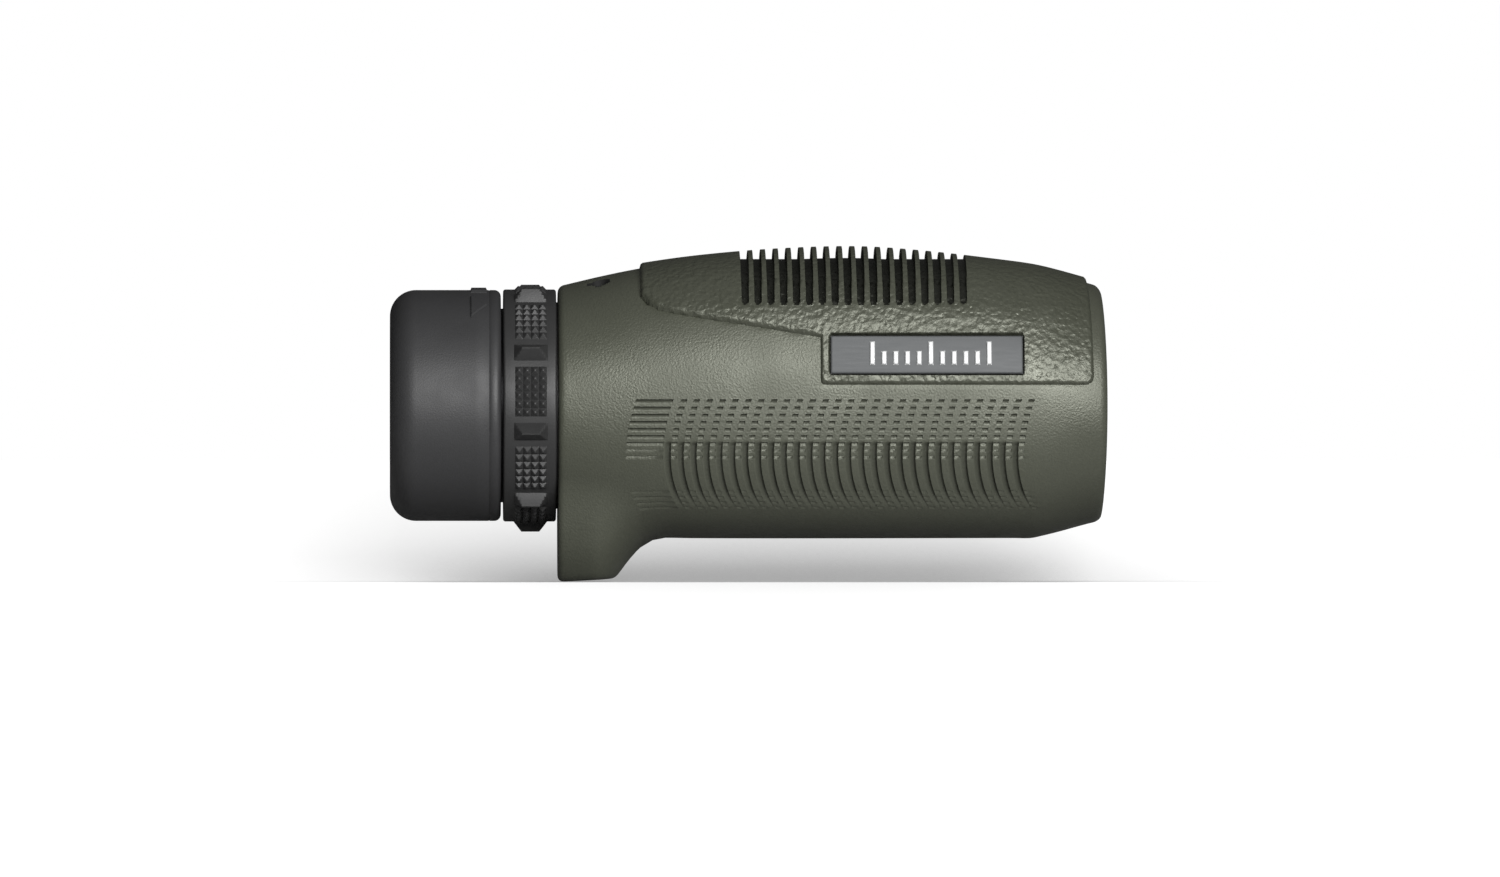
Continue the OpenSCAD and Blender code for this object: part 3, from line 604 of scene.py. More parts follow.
RIB_COUNT = 28
RIB_PITCH = 2.204
RIB_W = 1.05
RIB_FIRST_X = -72.4
RIB_DEPTH = 0.6
BLOCK_X = (-80.1, -73.7)
SLIT_PITCH = 1.24
SLIT_TOP = 9.66
SLIT_H = 0.62
SLIT_DEPTH = 0.5
SLIT_WEIGHTS = [1, 1, 1, 1, 1, 1, 0.8, 0.3, 0.45]
LOW_SLIT_TOP = -7.3
LOW_SLIT_PITCH = 1.3
LOW_SLIT_WEIGHTS = [0.3, 0.35, 0.35, 0.3]
EDGE = 0.07
GRIP_R = 22.5
GRIP_MID = math.radians(-22)
GRIP_BOW_R = 26
GRIP_BOW_REACH = 12
GRIP_BOW_REAR, GRIP_BOW_REAR_L = 2, 9.5
GRIP_BOW_FRONT_X, GRIP_BOW_FRONT_L = -1.5, 9
BAND_POWER = 0.7
BAND_TOP, BAND_TOP_FADE = 2.4, 0.8
BAND_LOW, BAND_LOW_FADE = -12, 5
BED_DEPTH, BED_START, BED_SLOPE = 1.25, 0.5, 1.2

FRONT_EDGE = 1.25
REAR_EDGE = 1.0
HOOD_R = 18.9
HOOD_EDGE_R = 19.1
CELL_SEAT_R = 19.3
REAR_BORE_R = 18
HOUSING_REAR_X, HOUSING_FRONT_X = extent("main_housing", 0)

LANYARD_X = -84.3
HOLE_REAR_X, HOLE_FRONT_X = -86.3, -82.2
LANYARD_ANGLE = math.radians(18)
LANYARD_ANGLE_SHARE = 1.02
LANYARD_AXIS_R = 21.6
LANYARD_R = 1.5
LANYARD_EDGE = 0.25
LANYARD_DEPTH = 1.25
# Depth share in a lanyard hole from which its faces get the black painted shade.
LANYARD_SHADE_START = 0.05


def grip_height(z):
    """Distance along the flank from the grip pattern's middle line up to height z."""
    return GRIP_R * (np.arcsin(np.clip(z / GRIP_R, -1, 1)) - GRIP_MID)


def grip_z(s):
    """Height at a distance s along the flank from the grip pattern's middle line."""
    return GRIP_R * math.sin(s / GRIP_R + GRIP_MID)


def slits(s, top, pitch, weights):
    """Share of full depth of the horizontal slits: a sharp upper edge and a slope below it."""
    total = 0
    for k, weight in enumerate(weights):
        down = top - k * pitch - s
        total = total + weight * np.clip(down / EDGE, 0, 1) * np.clip(1 - down / SLIT_H, 0, 1)
    return total


def grip_relief(p, s):
    """Depth of the finger grip's relief, at p along the body and s along the flank."""
    along = p - RIB_FIRST_X
    step = np.mod(along, RIB_PITCH)
    on_ribs = (along > -EDGE) & (along < (RIB_COUNT - 1) * RIB_PITCH + RIB_W + EDGE)
    dash = on_ribs * np.clip(np.minimum(step, RIB_W - step) / EDGE, 0, 1)
    block = np.clip(np.minimum(p - BLOCK_X[0], BLOCK_X[1] - p) / EDGE, 0, 1)
    rows = slits(s, SLIT_TOP, SLIT_PITCH, SLIT_WEIGHTS)
    rows = rows + slits(s, LOW_SLIT_TOP, LOW_SLIT_PITCH, LOW_SLIT_WEIGHTS)
    between = np.clip((step - RIB_W) / (RIB_PITCH - RIB_W), 0, 1) ** BAND_POWER
    between = between * np.clip((RIB_PITCH - step) / EDGE, 0, 1)
    near_ribs = (along > RIB_W - RIB_PITCH) & (along < (RIB_COUNT - 1) * RIB_PITCH + RIB_W)
    fade = smooth((BAND_TOP - s) / BAND_TOP_FADE) * smooth((s - BAND_LOW) / BAND_LOW_FADE)
    return np.maximum(SLIT_DEPTH * rows * (dash + block), RIB_DEPTH * near_ribs * between * fade)


def armour_columns():
    """Places along the body, close together at the relief's edges."""
    rib_steps = np.array([0, EDGE, 0.5, RIB_W - EDGE, RIB_W, 1.35, 1.75, RIB_PITCH - EDGE])
    ribs = np.concatenate([RIB_FIRST_X + i * RIB_PITCH + rib_steps for i in range(-1, RIB_COUNT)])
    first = RIB_FIRST_X - RIB_PITCH + RIB_W
    last = RIB_FIRST_X + (RIB_COUNT - 1) * RIB_PITCH + RIB_W
    ribs = ribs[(ribs > first - 0.01) & (ribs < last + 0.01)]
    block = [BLOCK_X[0], BLOCK_X[0] + EDGE, -78, -75.8, BLOCK_X[1] - EDGE, BLOCK_X[1]]
    return np.concatenate([
        np.arange(REAR_X + REAR_EDGE, HOLE_REAR_X, 0.7), np.arange(HOLE_REAR_X, HOLE_FRONT_X, 0.25),
        [-81.6, -80.8, -80.3],
        block, ribs, [-10.4, -9.6],
        np.arange(-8.8, FRONT_X - FRONT_EDGE - 0.5, 0.9), [FRONT_X - FRONT_EDGE],
    ])


def armour_rows():
    """Rows of the right flank from the crown down to the belly."""
    crown_z, belly_z = 17, -18.8
    crown_span = 42
    crown_steps = [[0, 3, 6, 9, 11.5], np.arange(13, 23.4, 0.8), [24.5, 27, 30, 34, 38, 41.9]]
    crown = [(crown_z, 1 - off / crown_span) for off in np.concatenate(crown_steps)]
    flank = [(z, 0) for z in np.arange(crown_z, 1.6, -0.9)]
    slit_tops = [SLIT_TOP - k * SLIT_PITCH for k in range(len(SLIT_WEIGHTS))]
    slit_tops += [LOW_SLIT_TOP - k * LOW_SLIT_PITCH for k in range(len(LOW_SLIT_WEIGHTS))]
    grip = [top - down for top in slit_tops for down in (-0.2, 0, EDGE, 0.3, SLIT_H, SLIT_H + 0.15)]
    grip += list(np.arange(-1.6, -6.8, -0.8))
    flank += [(grip_z(s), 0) for s in sorted(grip, reverse=True)]
    belly = [(belly_z, share) for share in np.linspace(0, 1, 14)]
    return Rows(crown + flank + belly)


def armour_height(p, x, angle, s, z):
    """Relief of the armour's surface: the finger grip, the bed under the panel and the lanyard holes;
    also the holes' share and the share of painted shade in the grip's recesses.
    """
    bed = -BED_DEPTH * smooth((panel_depth(x, z) - BED_START) / BED_SLOPE)
    aside = np.abs(np.abs(angle - math.pi / 2) - LANYARD_ANGLE * LANYARD_ANGLE_SHARE) * LANYARD_AXIS_R
    hole = np.clip((LANYARD_R - np.hypot(x - LANYARD_X, aside)) / LANYARD_EDGE, 0, 1)
    flank = (z < 3) & (s < SLIT_TOP + 0.1)
    relief = grip_relief(p, s) * flank
    # The last value is painted shade, full where the grip's relief is deepest.
    return bed - relief - LANYARD_DEPTH * hole, hole, np.clip(relief / RIB_DEPTH, 0, 1)


def at_radius(ring, x, radius):
    """A ring's directions, put on a circle at x."""
    flat = ring[:, 1:] / np.linalg.norm(ring[:, 1:], axis=1)[:, None] * radius
    return np.column_stack([np.full(len(ring), float(x)), flat])


def make_armour():
    rows = armour_rows()
    p = np.repeat(armour_columns()[:, None], len(rows.rows), 1)
    row_z = np.array([z for _, z, _ in rows.rows], float)
    s = grip_height(row_z)
    bow = np.minimum(np.abs(s), GRIP_BOW_REACH) ** 2 / (2 * GRIP_BOW_R)
    bow = bow * smooth((p - REAR_X - GRIP_BOW_REAR) / GRIP_BOW_REAR_L)
    x = p + bow * smooth((GRIP_BOW_FRONT_X - p) / GRIP_BOW_FRONT_L)
    angle = rows.angles(x)
    bare = body_surface(x, angle, 0)
    height, hole, painted_shade = armour_height(p, x, angle, s + 0 * p, bare[..., 2])
    rings = list(body_surface(x, angle, height))

    def outline(place, height):
        places = np.full(len(rows.rows), float(place))
        return body_surface(places, rows.angles(places), height)

    front_edge_x = FRONT_X - FRONT_EDGE
    for turn in np.radians([15, 30, 45, 60, 75, 90]):
        place = front_edge_x + FRONT_EDGE * math.sin(turn)
        skin_ring = outline(place, 0)
        lip = at_radius(skin_ring, 0, HOOD_EDGE_R)
        lip[:, 0] = place - rim_bow(place, lip[:, 2])
        share = 1 - math.cos(turn)
        rings.append(skin_ring * (1 - share) + lip * share)
    lip = rings[-1]
    inner_lip = at_radius(lip, 0, HOOD_R)
    inner_lip[:, 0] = lip[:, 0] - (HOOD_EDGE_R - HOOD_R)
    rings += [inner_lip, at_radius(lip, 0, HOOD_R), at_radius(lip, 0, CELL_SEAT_R)]
    rings.append(at_radius(lip, HOUSING_FRONT_X, CELL_SEAT_R))
    for place in np.linspace(HOUSING_FRONT_X, HOUSING_REAR_X, 30):
        inner = outline(place, -ARMOUR_T)
        inner[:, 0] = place
        rings.append(inner)
    rings += [at_radius(lip, HOUSING_REAR_X, REAR_BORE_R), at_radius(lip, REAR_X, REAR_BORE_R)]
    face = outline(REAR_X, -REAR_EDGE)
    bore = at_radius(face, REAR_X, REAR_BORE_R)
    rings += [bore + (face - bore) * share for share in (0.25, 0.5, 0.75)]
    for turn in np.radians([90, 72, 54, 36, 18]):
        place = REAR_X + REAR_EDGE * (1 - math.sin(turn))
        rings.append(outline(place, -REAR_EDGE * (1 - math.cos(turn))))
    points = np.array(rings)
    faces = grid_faces(len(rings), len(rows.rows))
    piece = new_piece("armour_shell", points.reshape(-1, 3), faces, ARMOUR, "body", 50)
    piece.data.materials.append(HOLE_SHADE_PAINT)
    # Painted shade of the grip's recesses, stored for the armour's material; none on the inner rings.
    rest = points[..., 0].size - painted_shade.size
    store(piece, "painted_shade", np.concatenate([painted_shade.ravel(), np.zeros(rest)]))
    # The lanyard holes get the black painted-shade material, a dark sheet where there is only shade.
    inside = np.concatenate([(hole > LANYARD_SHADE_START).ravel(), np.zeros(rest, bool)])
    hole_shade_faces = inside[faces].any(axis=1)
    piece.data.polygons.foreach_set("material_index", hole_shade_faces.astype(np.int32))
    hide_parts("body_armour")


# ---------- grip panel ----------

PANEL_BEVEL = 0.55
PANEL_BOTTOM = -1.28
PANEL_LOWEST = -1.2
PANEL_CROWN_Z = 19
PANEL_THINNER, PANEL_THIN_Z, PANEL_THIN_FADE = 0.35, 17, 6
PANEL_SKIRT, PANEL_SKIRT_SLOPE = 0.35, 1.6
GROOVE_WALL = 0.14
GROOVE_FLOOR_TOP = 0.2
# How strongly shade is painted into the crown grooves, and the groove share where it starts.
GROOVE_PAINTED_SHADE, GROOVE_PAINTED_SHADE_START = 1.3, 0.2
WINDOW_R, WINDOW_WALL, WINDOW_DEPTH = 0.6, 0.2, 0.7


def panel_columns():
    """Places along the panel, with lines at every groove wall."""
    groove_steps = np.array([0, 0.48, 0.56, 0.64, 0.72])
    groove_steps = np.concatenate([-groove_steps[:0:-1], groove_steps])
    grooves = [FIRST_GROOVE_X + i * GROOVE_PITCH + groove_steps for i in range(GROOVE_COUNT)]
    lands = [FIRST_GROOVE_X + (i + 0.5) * GROOVE_PITCH for i in range(-1, GROOVE_COUNT)]
    lines = np.concatenate([np.array(grooves).ravel(), lands])
    plate_lines = [PLATE_FRONT_X + d for d in (-0.1, 0.05, 0.25, 0.4)]
    rear = np.arange(PANEL_REAR_X - 0.4, lines.min() - 0.1, 0.3)
    step = [PANEL_STEP_X + d for d in (-0.3, -0.15, 0, 0.15, 0.3, 0.45, 0.6, 0.75)]
    plate_lines += [PLATE_REAR_X + d for d in (-0.4, -0.25, -0.05, 0.1)]
    front = np.arange(lines.max() + 0.3, FRONT_X - PANEL_MARGIN + 0.4, 0.3)
    places = np.sort(np.concatenate([rear, lines, step, plate_lines, front]))
    return places[np.concatenate([[True], np.diff(places) > 0.04])]


def panel_rows():
    """Rows of the right flank from the panel's lower edge up to the crown."""
    crown = [(PANEL_CROWN_Z, share) for share in np.linspace(0, 1, 22)[::-1]]
    near_plate = [z + d for z in (PLATE_LOW_Z, PLATE_TOP_Z) for d in (-0.4, -0.25, -0.05, 0.1)]
    zs = np.sort(np.concatenate([np.arange(PANEL_LOW_Z - 0.5, PANEL_CROWN_Z, 0.4), near_plate]))
    zs = zs[np.concatenate([[True], np.diff(zs) > 0.04])]
    flank = [(z, 0) for z in zs[::-1]]
    return Rows((crown + flank)[::-1])


def panel_height(x, z):
    """Height of the panel's surface above the armour, and the share of painted shade on it."""
    depth = panel_depth(x, z)
    rise = PANEL_RISE - PANEL_THINNER * smooth((PANEL_THIN_Z - z) / PANEL_THIN_FADE)
    edge = np.clip(depth / PANEL_BEVEL, -3, 1)
    rounded = np.sqrt(np.clip(1 - (1 - edge) ** 2, 0, 1))
    height = rise * np.where(edge > 0, rounded, PANEL_SKIRT_SLOPE * edge)
    groove = smooth(groove_depth(x, z) / GROOVE_WALL + 0.5)
    floor = np.clip(GROOVE_FLOOR_Z - curve(x, TOP_LINE), GROOVE_FLOOR, GROOVE_FLOOR_TOP)
    height = height - (rise - floor) * groove
    window = smooth(plate_depth(x, z, PLATE_GAP, WINDOW_R) / WINDOW_WALL + 0.5)
    # Painted shade: full in the crown grooves and in the gap round the name plate, where shade falls.
    painted_shade = np.clip(groove * GROOVE_PAINTED_SHADE - GROOVE_PAINTED_SHADE_START + window, 0, 1)
    return np.maximum(height - (rise + WINDOW_DEPTH) * window, PANEL_LOWEST), painted_shade


def make_panel():
    rows = panel_rows()
    x = np.repeat(panel_columns()[:, None], len(rows.rows), 1)
    angle = rows.angles(x)
    bare = body_surface(x, angle, 0)
    height, painted_shade = panel_height(bare[..., 0], bare[..., 2])
    top = body_surface(x, angle, height)
    bottom = body_surface(x, angle, PANEL_BOTTOM)
    inside = panel_depth(bare[..., 0], bare[..., 2]) > -PANEL_SKIRT
    keep = inside[1:, 1:] & inside[:-1, 1:] & inside[1:, :-1] & inside[:-1, :-1]
    piece = slab_piece("grip_panel_skin", top, bottom, keep, PANEL, "body", 60, painted_shade)
    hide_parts("grip_panel")


# ---------- name plates ----------

PLATE_RISE = 0.42
PLATE_BEVEL = 0.28
PLATE_BOTTOM = -0.65
PLATE_R = 0.4
PLATE_STEP = 0.9
MARK_COUNT = 11
MARK_PITCH = 2.0
MARK_MID_X = -27.9
MARK_LOW_Z = 6.8
MARK_W = 0.85
MARK_RISE = 0.32
MARK_TALL, MARK_SHORT, MARK_TALL_EVERY = 3.9, 2.3, 5
MARK_BEVEL = 0.2
MARK_R = 0.3
MARK_STEP = 0.4


def flank_patch(xs, zs, side, height):
    """Points over a rectangle of one flank, its height a number or a grid."""
    x = np.repeat(np.asarray(xs, float)[:, None], len(zs), 1)
    angle = np.stack([flank_angle(x[:, i], z) for i, z in enumerate(zs)], -1)
    if side < 0:
        angle = math.pi - angle
    return body_surface(x, angle, height)


def bevelled_lines(low, high, bevel, step):
    """Places from low to high, closer together inside each bevel."""
    edge = np.array([0, 0.15, 0.5, 1, 1.3]) * bevel
    middle = np.arange(low + edge[-1] + step, high - edge[-1] - step / 2, step)
    return np.concatenate([low + edge, middle, high - edge[::-1]])


def raised_block(name, x0, x1, z0, z1, side, base, top, bevel, corner, material, step):
    """A bevelled block on the flank, between two heights above the armour."""
    xs = bevelled_lines(x0, x1, bevel, step)
    zs = bevelled_lines(z0, z1, bevel, step)
    x, z = np.meshgrid(xs, zs, indexing="ij")
    a = np.minimum(x - x0, x1 - x)
    b = np.minimum(z - z0, z1 - z)
    depth = np.clip(corner_depth(a, b, corner) / bevel, 0, 1)
    height = top - bevel * (1 - np.sqrt(np.clip(1 - (1 - depth) ** 2, 0, 1)))
    upper = flank_patch(xs, zs, side, height)
    lower = flank_patch(xs, zs, side, base)
    keep = np.ones((len(xs) - 1, len(zs) - 1), bool)
    return slab_piece(name, upper, lower, keep, material, "body", 45)


def make_name_plate(side, word):
    plate = raised_block(f"name_plate_{word}_face", PLATE_REAR_X, PLATE_FRONT_X, PLATE_LOW_Z, PLATE_TOP_Z,
                         side, PLATE_BOTTOM, PLATE_RISE, PLATE_BEVEL, PLATE_R, PLATE, PLATE_STEP)
    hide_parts(f"name_plate_{word}")
    first = MARK_MID_X - (MARK_COUNT - 1) * MARK_PITCH / 2
    for i in range(MARK_COUNT):
        mid = first + i * MARK_PITCH
        tall = MARK_TALL if i % MARK_TALL_EVERY == 0 else MARK_SHORT
        raised_block(f"plate_mark_{word}_{i}", mid - MARK_W / 2, mid + MARK_W / 2,
                     MARK_LOW_Z, MARK_LOW_Z + tall, side, 0, PLATE_RISE + MARK_RISE,
                     MARK_BEVEL, MARK_R, MARKS, MARK_STEP)


# ---------- focus ring ----------

GRIP_REAR_X, GRIP_FRONT_X = extent("focus_ring_grip", 0)
RING_R = 20
RING_BORE_R = extent("focus_ring_core", 1)[1]
RING_EDGE = 0.4
BUMP_COUNT = 9
BUMP_FIRST = 33.1
BUMP_TOP = -extent("focus_ring_grip", 2)[0] - RING_R
BUMP_X = -96.3
BUMP_HALF_L = 2.9
BUMP_RIDGE_HALF_L = 1.55
BUMP_HALF_ANGLE = 4.4
BUMP_RIDGE_HALF_ANGLE = 0.35
KNURL_ROWS = 6
KNURL_HALF_ANGLE = 12.4
KNURL_COLUMNS = 4
KNURL_HALF_L = 2.72
KNURL_RISE = 0.62
KNURL_STEEP = 1.15
RELIEF_GAP = 0.15


def ring_height(x, turn):
    """Height of the bumps and the knurl above the ring, turn being degrees from a bump."""
    lean = np.minimum((BUMP_HALF_ANGLE - np.abs(turn)) / (BUMP_HALF_ANGLE - BUMP_RIDGE_HALF_ANGLE),
                      (BUMP_HALF_L - np.abs(x - BUMP_X)) / (BUMP_HALF_L - BUMP_RIDGE_HALF_L))
    bump = BUMP_TOP * np.clip(lean, 0, 1)
    sector = 360 / BUMP_COUNT
    away = np.abs(np.abs(turn) - sector / 2)
    around = np.where(turn > 0, turn, turn + sector) - sector / 2 + KNURL_HALF_ANGLE
    around = around / (2 * KNURL_HALF_ANGLE)
    along = (x - BUMP_X + KNURL_HALF_L) / (2 * KNURL_HALF_L)
    cell_a = np.abs(np.mod(around * KNURL_ROWS, 1) - 0.5) * 2
    cell_x = np.abs(np.mod(along * KNURL_COLUMNS, 1) - 0.5) * 2
    inside = (away <= KNURL_HALF_ANGLE + 1e-6) & (np.abs(x - BUMP_X) <= KNURL_HALF_L + 1e-6)
    knurl = inside * KNURL_RISE * np.minimum(KNURL_STEEP * (1 - np.maximum(cell_a, cell_x)), 1)
    return np.maximum(bump, knurl)


def ring_turns():
    """Angles round the ring in degrees from the first bump, with lines at every edge of the relief."""
    half_sector = 180 / BUMP_COUNT
    row = 2 * KNURL_HALF_ANGLE / KNURL_ROWS
    knurl = half_sector - KNURL_HALF_ANGLE + np.arange(KNURL_ROWS * 8 + 1) * row / 8
    half_bump = np.array([BUMP_RIDGE_HALF_ANGLE, 1.1, 2.2, 3.3, BUMP_HALF_ANGLE])
    bump = np.concatenate([-half_bump[::-1], half_bump])
    one = np.concatenate([
        bump, [BUMP_HALF_ANGLE + RELIEF_GAP], knurl[:1] - RELIEF_GAP, knurl, knurl[-1:] + RELIEF_GAP,
        [2 * half_sector - BUMP_HALF_ANGLE - RELIEF_GAP],
    ])
    return np.concatenate([one + i * 2 * half_sector for i in range(BUMP_COUNT)])


def make_focus_ring():
    turns = ring_turns()
    sector = 360 / BUMP_COUNT
    knurl_x = np.arange(KNURL_COLUMNS * 8 + 1) * KNURL_HALF_L / (4 * KNURL_COLUMNS)
    knurl_x = BUMP_X - KNURL_HALF_L + knurl_x
    reaches = (BUMP_RIDGE_HALF_L, BUMP_HALF_L, BUMP_HALF_L + 0.12)
    bump_x = [BUMP_X + side * reach for side in (-1, 1) for reach in reaches]
    places = np.sort(np.concatenate([knurl_x, bump_x]))
    places = places[np.concatenate([[True], np.diff(places) > 0.03])]
    rear_edge = arc(GRIP_REAR_X + RING_EDGE, RING_R - RING_EDGE, RING_EDGE, 180, 90, 5)
    front_edge = arc(GRIP_FRONT_X - RING_EDGE, RING_R - RING_EDGE, RING_EDGE, 90, 0, 5)
    profile = [(GRIP_REAR_X, RING_BORE_R)] + rear_edge + [(x, RING_R) for x in places] + front_edge
    profile += [(GRIP_FRONT_X, RING_BORE_R)]
    x, base = np.array(profile).T
    from_bump = np.mod(turns + sector / 2, sector) - sector / 2
    on_top = (base == RING_R)[:, None]
    radius = base[:, None] + on_top * ring_height(x[:, None], from_bump[None, :])
    angle = np.radians(turns + BUMP_FIRST)
    along = np.repeat(x[:, None], len(turns), 1)
    points = np.stack([along, radius * np.cos(angle), radius * np.sin(angle)], -1).reshape(-1, 3)
    faces = grid_faces(len(profile), len(turns))
    piece = new_piece("focus_ring_rubber", points, faces, RING, "focus_ring", 25)
    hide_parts("focus_ring_grip")


# ---------- eyecup ----------

CUP_REAR_X, CUP_FRONT_X = extent("eyecup_rubber", 0)
CUP_R = extent("eyecup_rubber", 1)[1]
CUP_CORNER = 4.5
CUP_FRONT_EDGE = 1.1
CUP_LIP_R = 14.8
CUP_LIP_EDGE = 0.7
SLEEVE_R = extent("eyecup_sleeve", 1)[1]
SLEEVE_REAR_X = extent("eyecup_sleeve", 0)[0]
BAND_X = -103.4
BAND_HALF_L = 0.12
BAND_DEPTH = 0.1
TURNS = 192


def make_eyecup():
    front = arc(CUP_FRONT_X - CUP_FRONT_EDGE, CUP_R - CUP_FRONT_EDGE, CUP_FRONT_EDGE, 0, 90, 8)
    band = [(BAND_X + BAND_HALF_L, CUP_R), (BAND_X, CUP_R - BAND_DEPTH), (BAND_X - BAND_HALF_L, CUP_R)]
    rear = arc(CUP_REAR_X + CUP_CORNER, CUP_R - CUP_CORNER, CUP_CORNER, 90, 180, 16)
    lip_top = CUP_LIP_R + CUP_LIP_EDGE
    flat = [(CUP_REAR_X, lip_top + 0.05)] if rear[-1][1] > lip_top + 0.1 else []
    lip = arc(SLEEVE_REAR_X - 0.05, lip_top, CUP_LIP_EDGE, 180, 270, 6)
    outside = [(x, CUP_R) for x in (-106, -110, -114)]
    profile = [(CUP_FRONT_X, SLEEVE_R)] + front + band + outside + rear + flat
    profile += lip + [(SLEEVE_REAR_X, CUP_LIP_R), (SLEEVE_REAR_X, SLEEVE_R)]
    piece = turned_piece("eyecup_cup", profile, TURNS, CUP, "eyecup")
    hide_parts("eyecup_rubber")


INDEX_X = (-106.6, -103.8)
INDEX_RISE = 0.42
POINTER_RISE = 0.4
INDEX_SPAN = (77, 103)
POINTER_SPAN = (110.5, 131)
INDEX_SUNK = 0.2
INDEX_TOP_SHARE = 0.88
SIDE_STEPS = 6


def cup_mark(name, corners, rise):
    """A low raised mark on the eyecup between corners given as (x, degrees round the axis)."""
    corners = np.array(corners, float)
    steps = np.arange(SIDE_STEPS)[:, None] / SIDE_STEPS
    line = np.concatenate([a + (b - a) * steps for a, b in zip(corners, np.roll(corners, -1, axis=0))])
    middle = line.mean(axis=0)
    sunk, low, top = CUP_R - INDEX_SUNK, CUP_R + rise / 4, CUP_R + rise
    sizes = [(0.5, sunk), (1, sunk), (1, low), (INDEX_TOP_SHARE, top), (0.5, top), (0, sunk), (0, top)]
    rings = []
    for share, radius in sizes:
        x, turn = (middle + (line - middle) * share).T
        turn = np.radians(turn)
        rings.append(np.stack([x, radius * np.cos(turn), radius * np.sin(turn)], -1))
    points = np.concatenate(rings[:5] + [rings[5][:1], rings[6][:1]])
    faces = capped_faces(5, len(line))
    new_piece(name, points, faces, CUP, "eyecup", 30)


def make_index_marks():
    rear, front = INDEX_X
    low, high = INDEX_SPAN
    cup_mark("eyecup_index_bar", [(rear, low), (front, low), (front, high), (rear, high)], INDEX_RISE)
    low, high = POINTER_SPAN
    cup_mark("eyecup_index_pointer", [(rear, low), (front, (low + high) / 2), (rear, high)], POINTER_RISE)


# ---------- glass ----------

LENS_TURNS = 96


def lens_piece(name, node, edge_x, radius, back_x, back_radius, back_bulge, edge_r):
    """A smooth lens between two spherical surfaces given by their edges' places; the front bulges."""
    rings = np.linspace(0, 1, 25)[1:] * edge_r

    def sag(r, curvature):
        return curvature - np.sqrt(curvature**2 - r**2)

    front_sag, back_sag = sag(edge_r, radius), sag(edge_r, back_radius)
    front = [(edge_x + (front_sag - sag(r, radius)), r) for r in rings]
    back = [(back_x + back_bulge * (back_sag - sag(r, back_radius)), r) for r in rings[::-1]]
    points = turned_points(front + back, LENS_TURNS).reshape(-1, 3)
    tips = [(edge_x + front_sag, 0, 0), (back_x + back_bulge * back_sag, 0, 0)]
    faces = capped_faces(len(front + back), LENS_TURNS)
    points = np.concatenate([points, tips])
    piece = new_piece(name, points, faces, COATED, "body", 50)
    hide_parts(node)


def make_lenses():
    lens_piece("objective_front_glass", "objective_crown_lens", edge_x=-6.6, radius=75,
               back_x=-8.6, back_radius=55, back_bulge=-1, edge_r=17.9)
    lens_piece("eye_lens_glass", "eye_lens", edge_x=-110.5, radius=80,
               back_x=-113, back_radius=60, back_bulge=1, edge_r=13)


# ---------- camera, light and floor ----------

VIEW_TURN = math.radians(1.1)
VIEW_X, VIEW_Z = -58.43 * MM, -5.69 * MM
VIEW_WIDTH = 258.6 * MM
CAMERA_AWAY = 3.0
SENSOR = 36
KEY_PLACE, KEY_SIZE, KEY_POWER = (0.35, -1.30, 0.42), (1.1, 0.42), 25
OVERHEAD_PLACE, OVERHEAD_SIZE, OVERHEAD_POWER = (VIEW_X, 0.1, 1.2), (0.9, 0.7), 0.35
AMBIENT = 0.05
FRONT_SLOPE, REAR_SLOPE = 30, 14
FLAT_HALF_Y = 0.017
FLOOR_FRONT_Y, FLOOR_REAR_Y = 1.2, 0.1
FLOOR_HALF_X = 1.2
# Painted shadow on the floor: how far it looks for the object, and its glow from close to open.
PAINTED_SHADOW_REACH = 0.11
PAINTED_SHADOW_AO, PAINTED_SHADOW_GLOW, OPEN_GLOW = 0.35, 0.3, 1.02


def make_camera():
    data = bpy.data.cameras.new("camera")
    data.sensor_width = SENSOR
    data.lens = SENSOR * CAMERA_AWAY / VIEW_WIDTH
    data.clip_start, data.clip_end = 0.1, 20
    camera = bpy.data.objects.new("camera", data)
    bpy.context.scene.collection.objects.link(camera)
    aside = VIEW_X - CAMERA_AWAY * math.sin(VIEW_TURN)
    camera.location = (aside, -CAMERA_AWAY * math.cos(VIEW_TURN), VIEW_Z)
    camera.rotation_euler = (math.pi / 2, 0, -VIEW_TURN)
    bpy.context.scene.camera = camera


def area_light(name, place, target, size, power):
    data = bpy.data.lights.new(name, "AREA")
    data.shape = "RECTANGLE"
    data.size, data.size_y = size
    data.energy = power
    lamp = bpy.data.objects.new(name, data)
    bpy.context.scene.collection.objects.link(lamp)
    lamp.location = place
    aim = np.array(target, float) - np.array(place, float)
    turn = math.atan2(aim[0], aim[1])
    tilt = math.atan2(aim[2], math.hypot(aim[0], aim[1]))
    lamp.rotation_euler = (math.pi / 2 + tilt, 0, -turn)


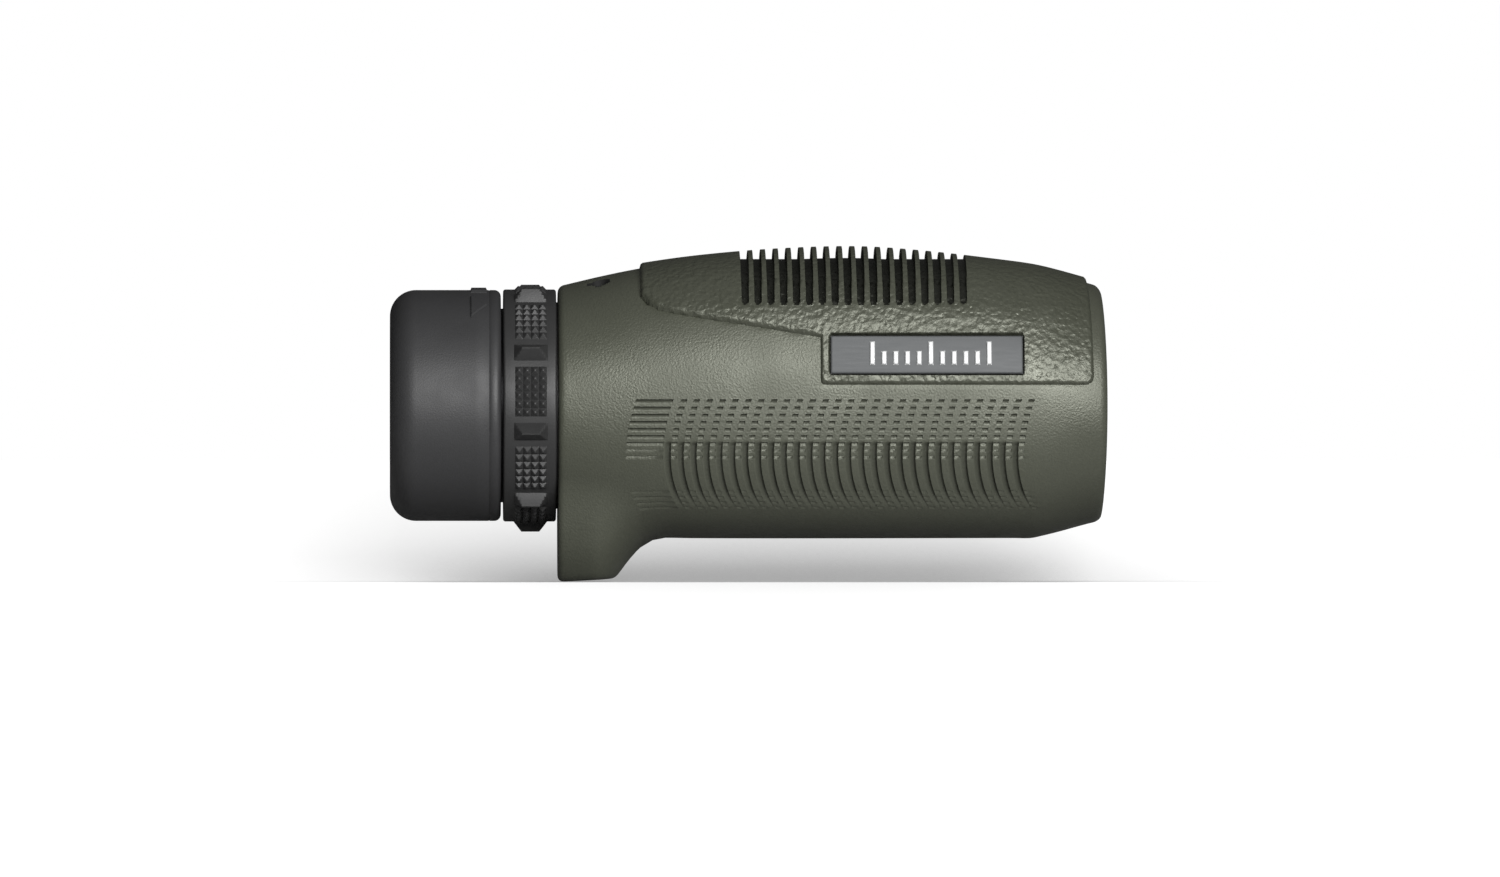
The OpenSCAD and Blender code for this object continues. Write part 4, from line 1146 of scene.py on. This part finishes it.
def make_lights():
    middle = (VIEW_X, 0, 0)
    area_light("key", KEY_PLACE, middle, KEY_SIZE, KEY_POWER)
    area_light("overhead", OVERHEAD_PLACE, middle, OVERHEAD_SIZE, OVERHEAD_POWER)
    world = bpy.data.worlds.new("studio")
    world.use_nodes = True
    bpy.context.scene.world = world
    tree = world.node_tree
    background = tree.nodes["Background"]
    background.inputs["Color"].default_value = (1, 1, 1, 1)
    path = tree.nodes.new("ShaderNodeLightPath")
    strength = tree.nodes.new("ShaderNodeMapRange")
    strength.inputs["To Min"].default_value = AMBIENT
    strength.inputs["To Max"].default_value = 1.0
    tree.links.new(path.outputs["Is Camera Ray"], strength.inputs["Value"])
    tree.links.new(strength.outputs["Result"], background.inputs["Strength"])
    bpy.context.scene.view_settings.view_transform = "Standard"


def make_floor():
    """A white table: flat under the object, falling towards the camera and rising softly behind."""
    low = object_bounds()[0][2]
    front_z = low - (FLOOR_FRONT_Y - FLAT_HALF_Y) * math.tan(math.radians(FRONT_SLOPE))
    rear_z = low + (FLOOR_REAR_Y - FLAT_HALF_Y) * math.tan(math.radians(REAR_SLOPE))
    lines = [(FLOOR_REAR_Y, rear_z), (FLAT_HALF_Y, low), (-FLAT_HALF_Y, low), (-FLOOR_FRONT_Y, front_z)]
    corners = [(VIEW_X + side * FLOOR_HALF_X, y, z) for y, z in lines for side in (-1, 1)]
    mesh = bpy.data.meshes.new("floor")
    mesh.from_pydata(corners, [], [(k, k + 2, k + 3, k + 1) for k in (0, 2, 4)])
    floor = bpy.data.objects.new("floor", mesh)
    bpy.context.scene.collection.objects.link(floor)
    mesh.materials.append(floor_paper())


def floor_paper():
    """White paper that glows for the camera only, so it looks evenly white, with a painted shadow: it
    glows less where the object stands close to it.
    """
    paint = Paint("floor_paper", rgb(150, 150, 150), 0.9)
    # Painted shadow: the glow falls where ambient occlusion finds the object close.
    near = paint.tree.nodes.new("ShaderNodeAmbientOcclusion")
    near.inputs["Distance"].default_value = PAINTED_SHADOW_REACH
    glow = paint.spread(near.outputs["AO"], PAINTED_SHADOW_GLOW, OPEN_GLOW, PAINTED_SHADOW_AO, 1.0)
    path = paint.tree.nodes.new("ShaderNodeLightPath")
    seen = paint.tree.nodes.new("ShaderNodeMath")
    seen.operation = "MULTIPLY"
    paint.link(glow, seen.inputs[0])
    paint.link(path.outputs["Is Camera Ray"], seen.inputs[1])
    paint.shader.inputs["Emission Color"].default_value = (1, 1, 1, 1)
    paint.link(seen.outputs["Value"], paint.shader.inputs["Emission Strength"])
    return paint.material


repaint_cad_nodes()
make_armour()
make_panel()
make_name_plate(-1, "right")
make_name_plate(1, "left")
make_focus_ring()
make_eyecup()
make_index_marks()
make_lenses()
make_floor()
make_lights()
make_camera()
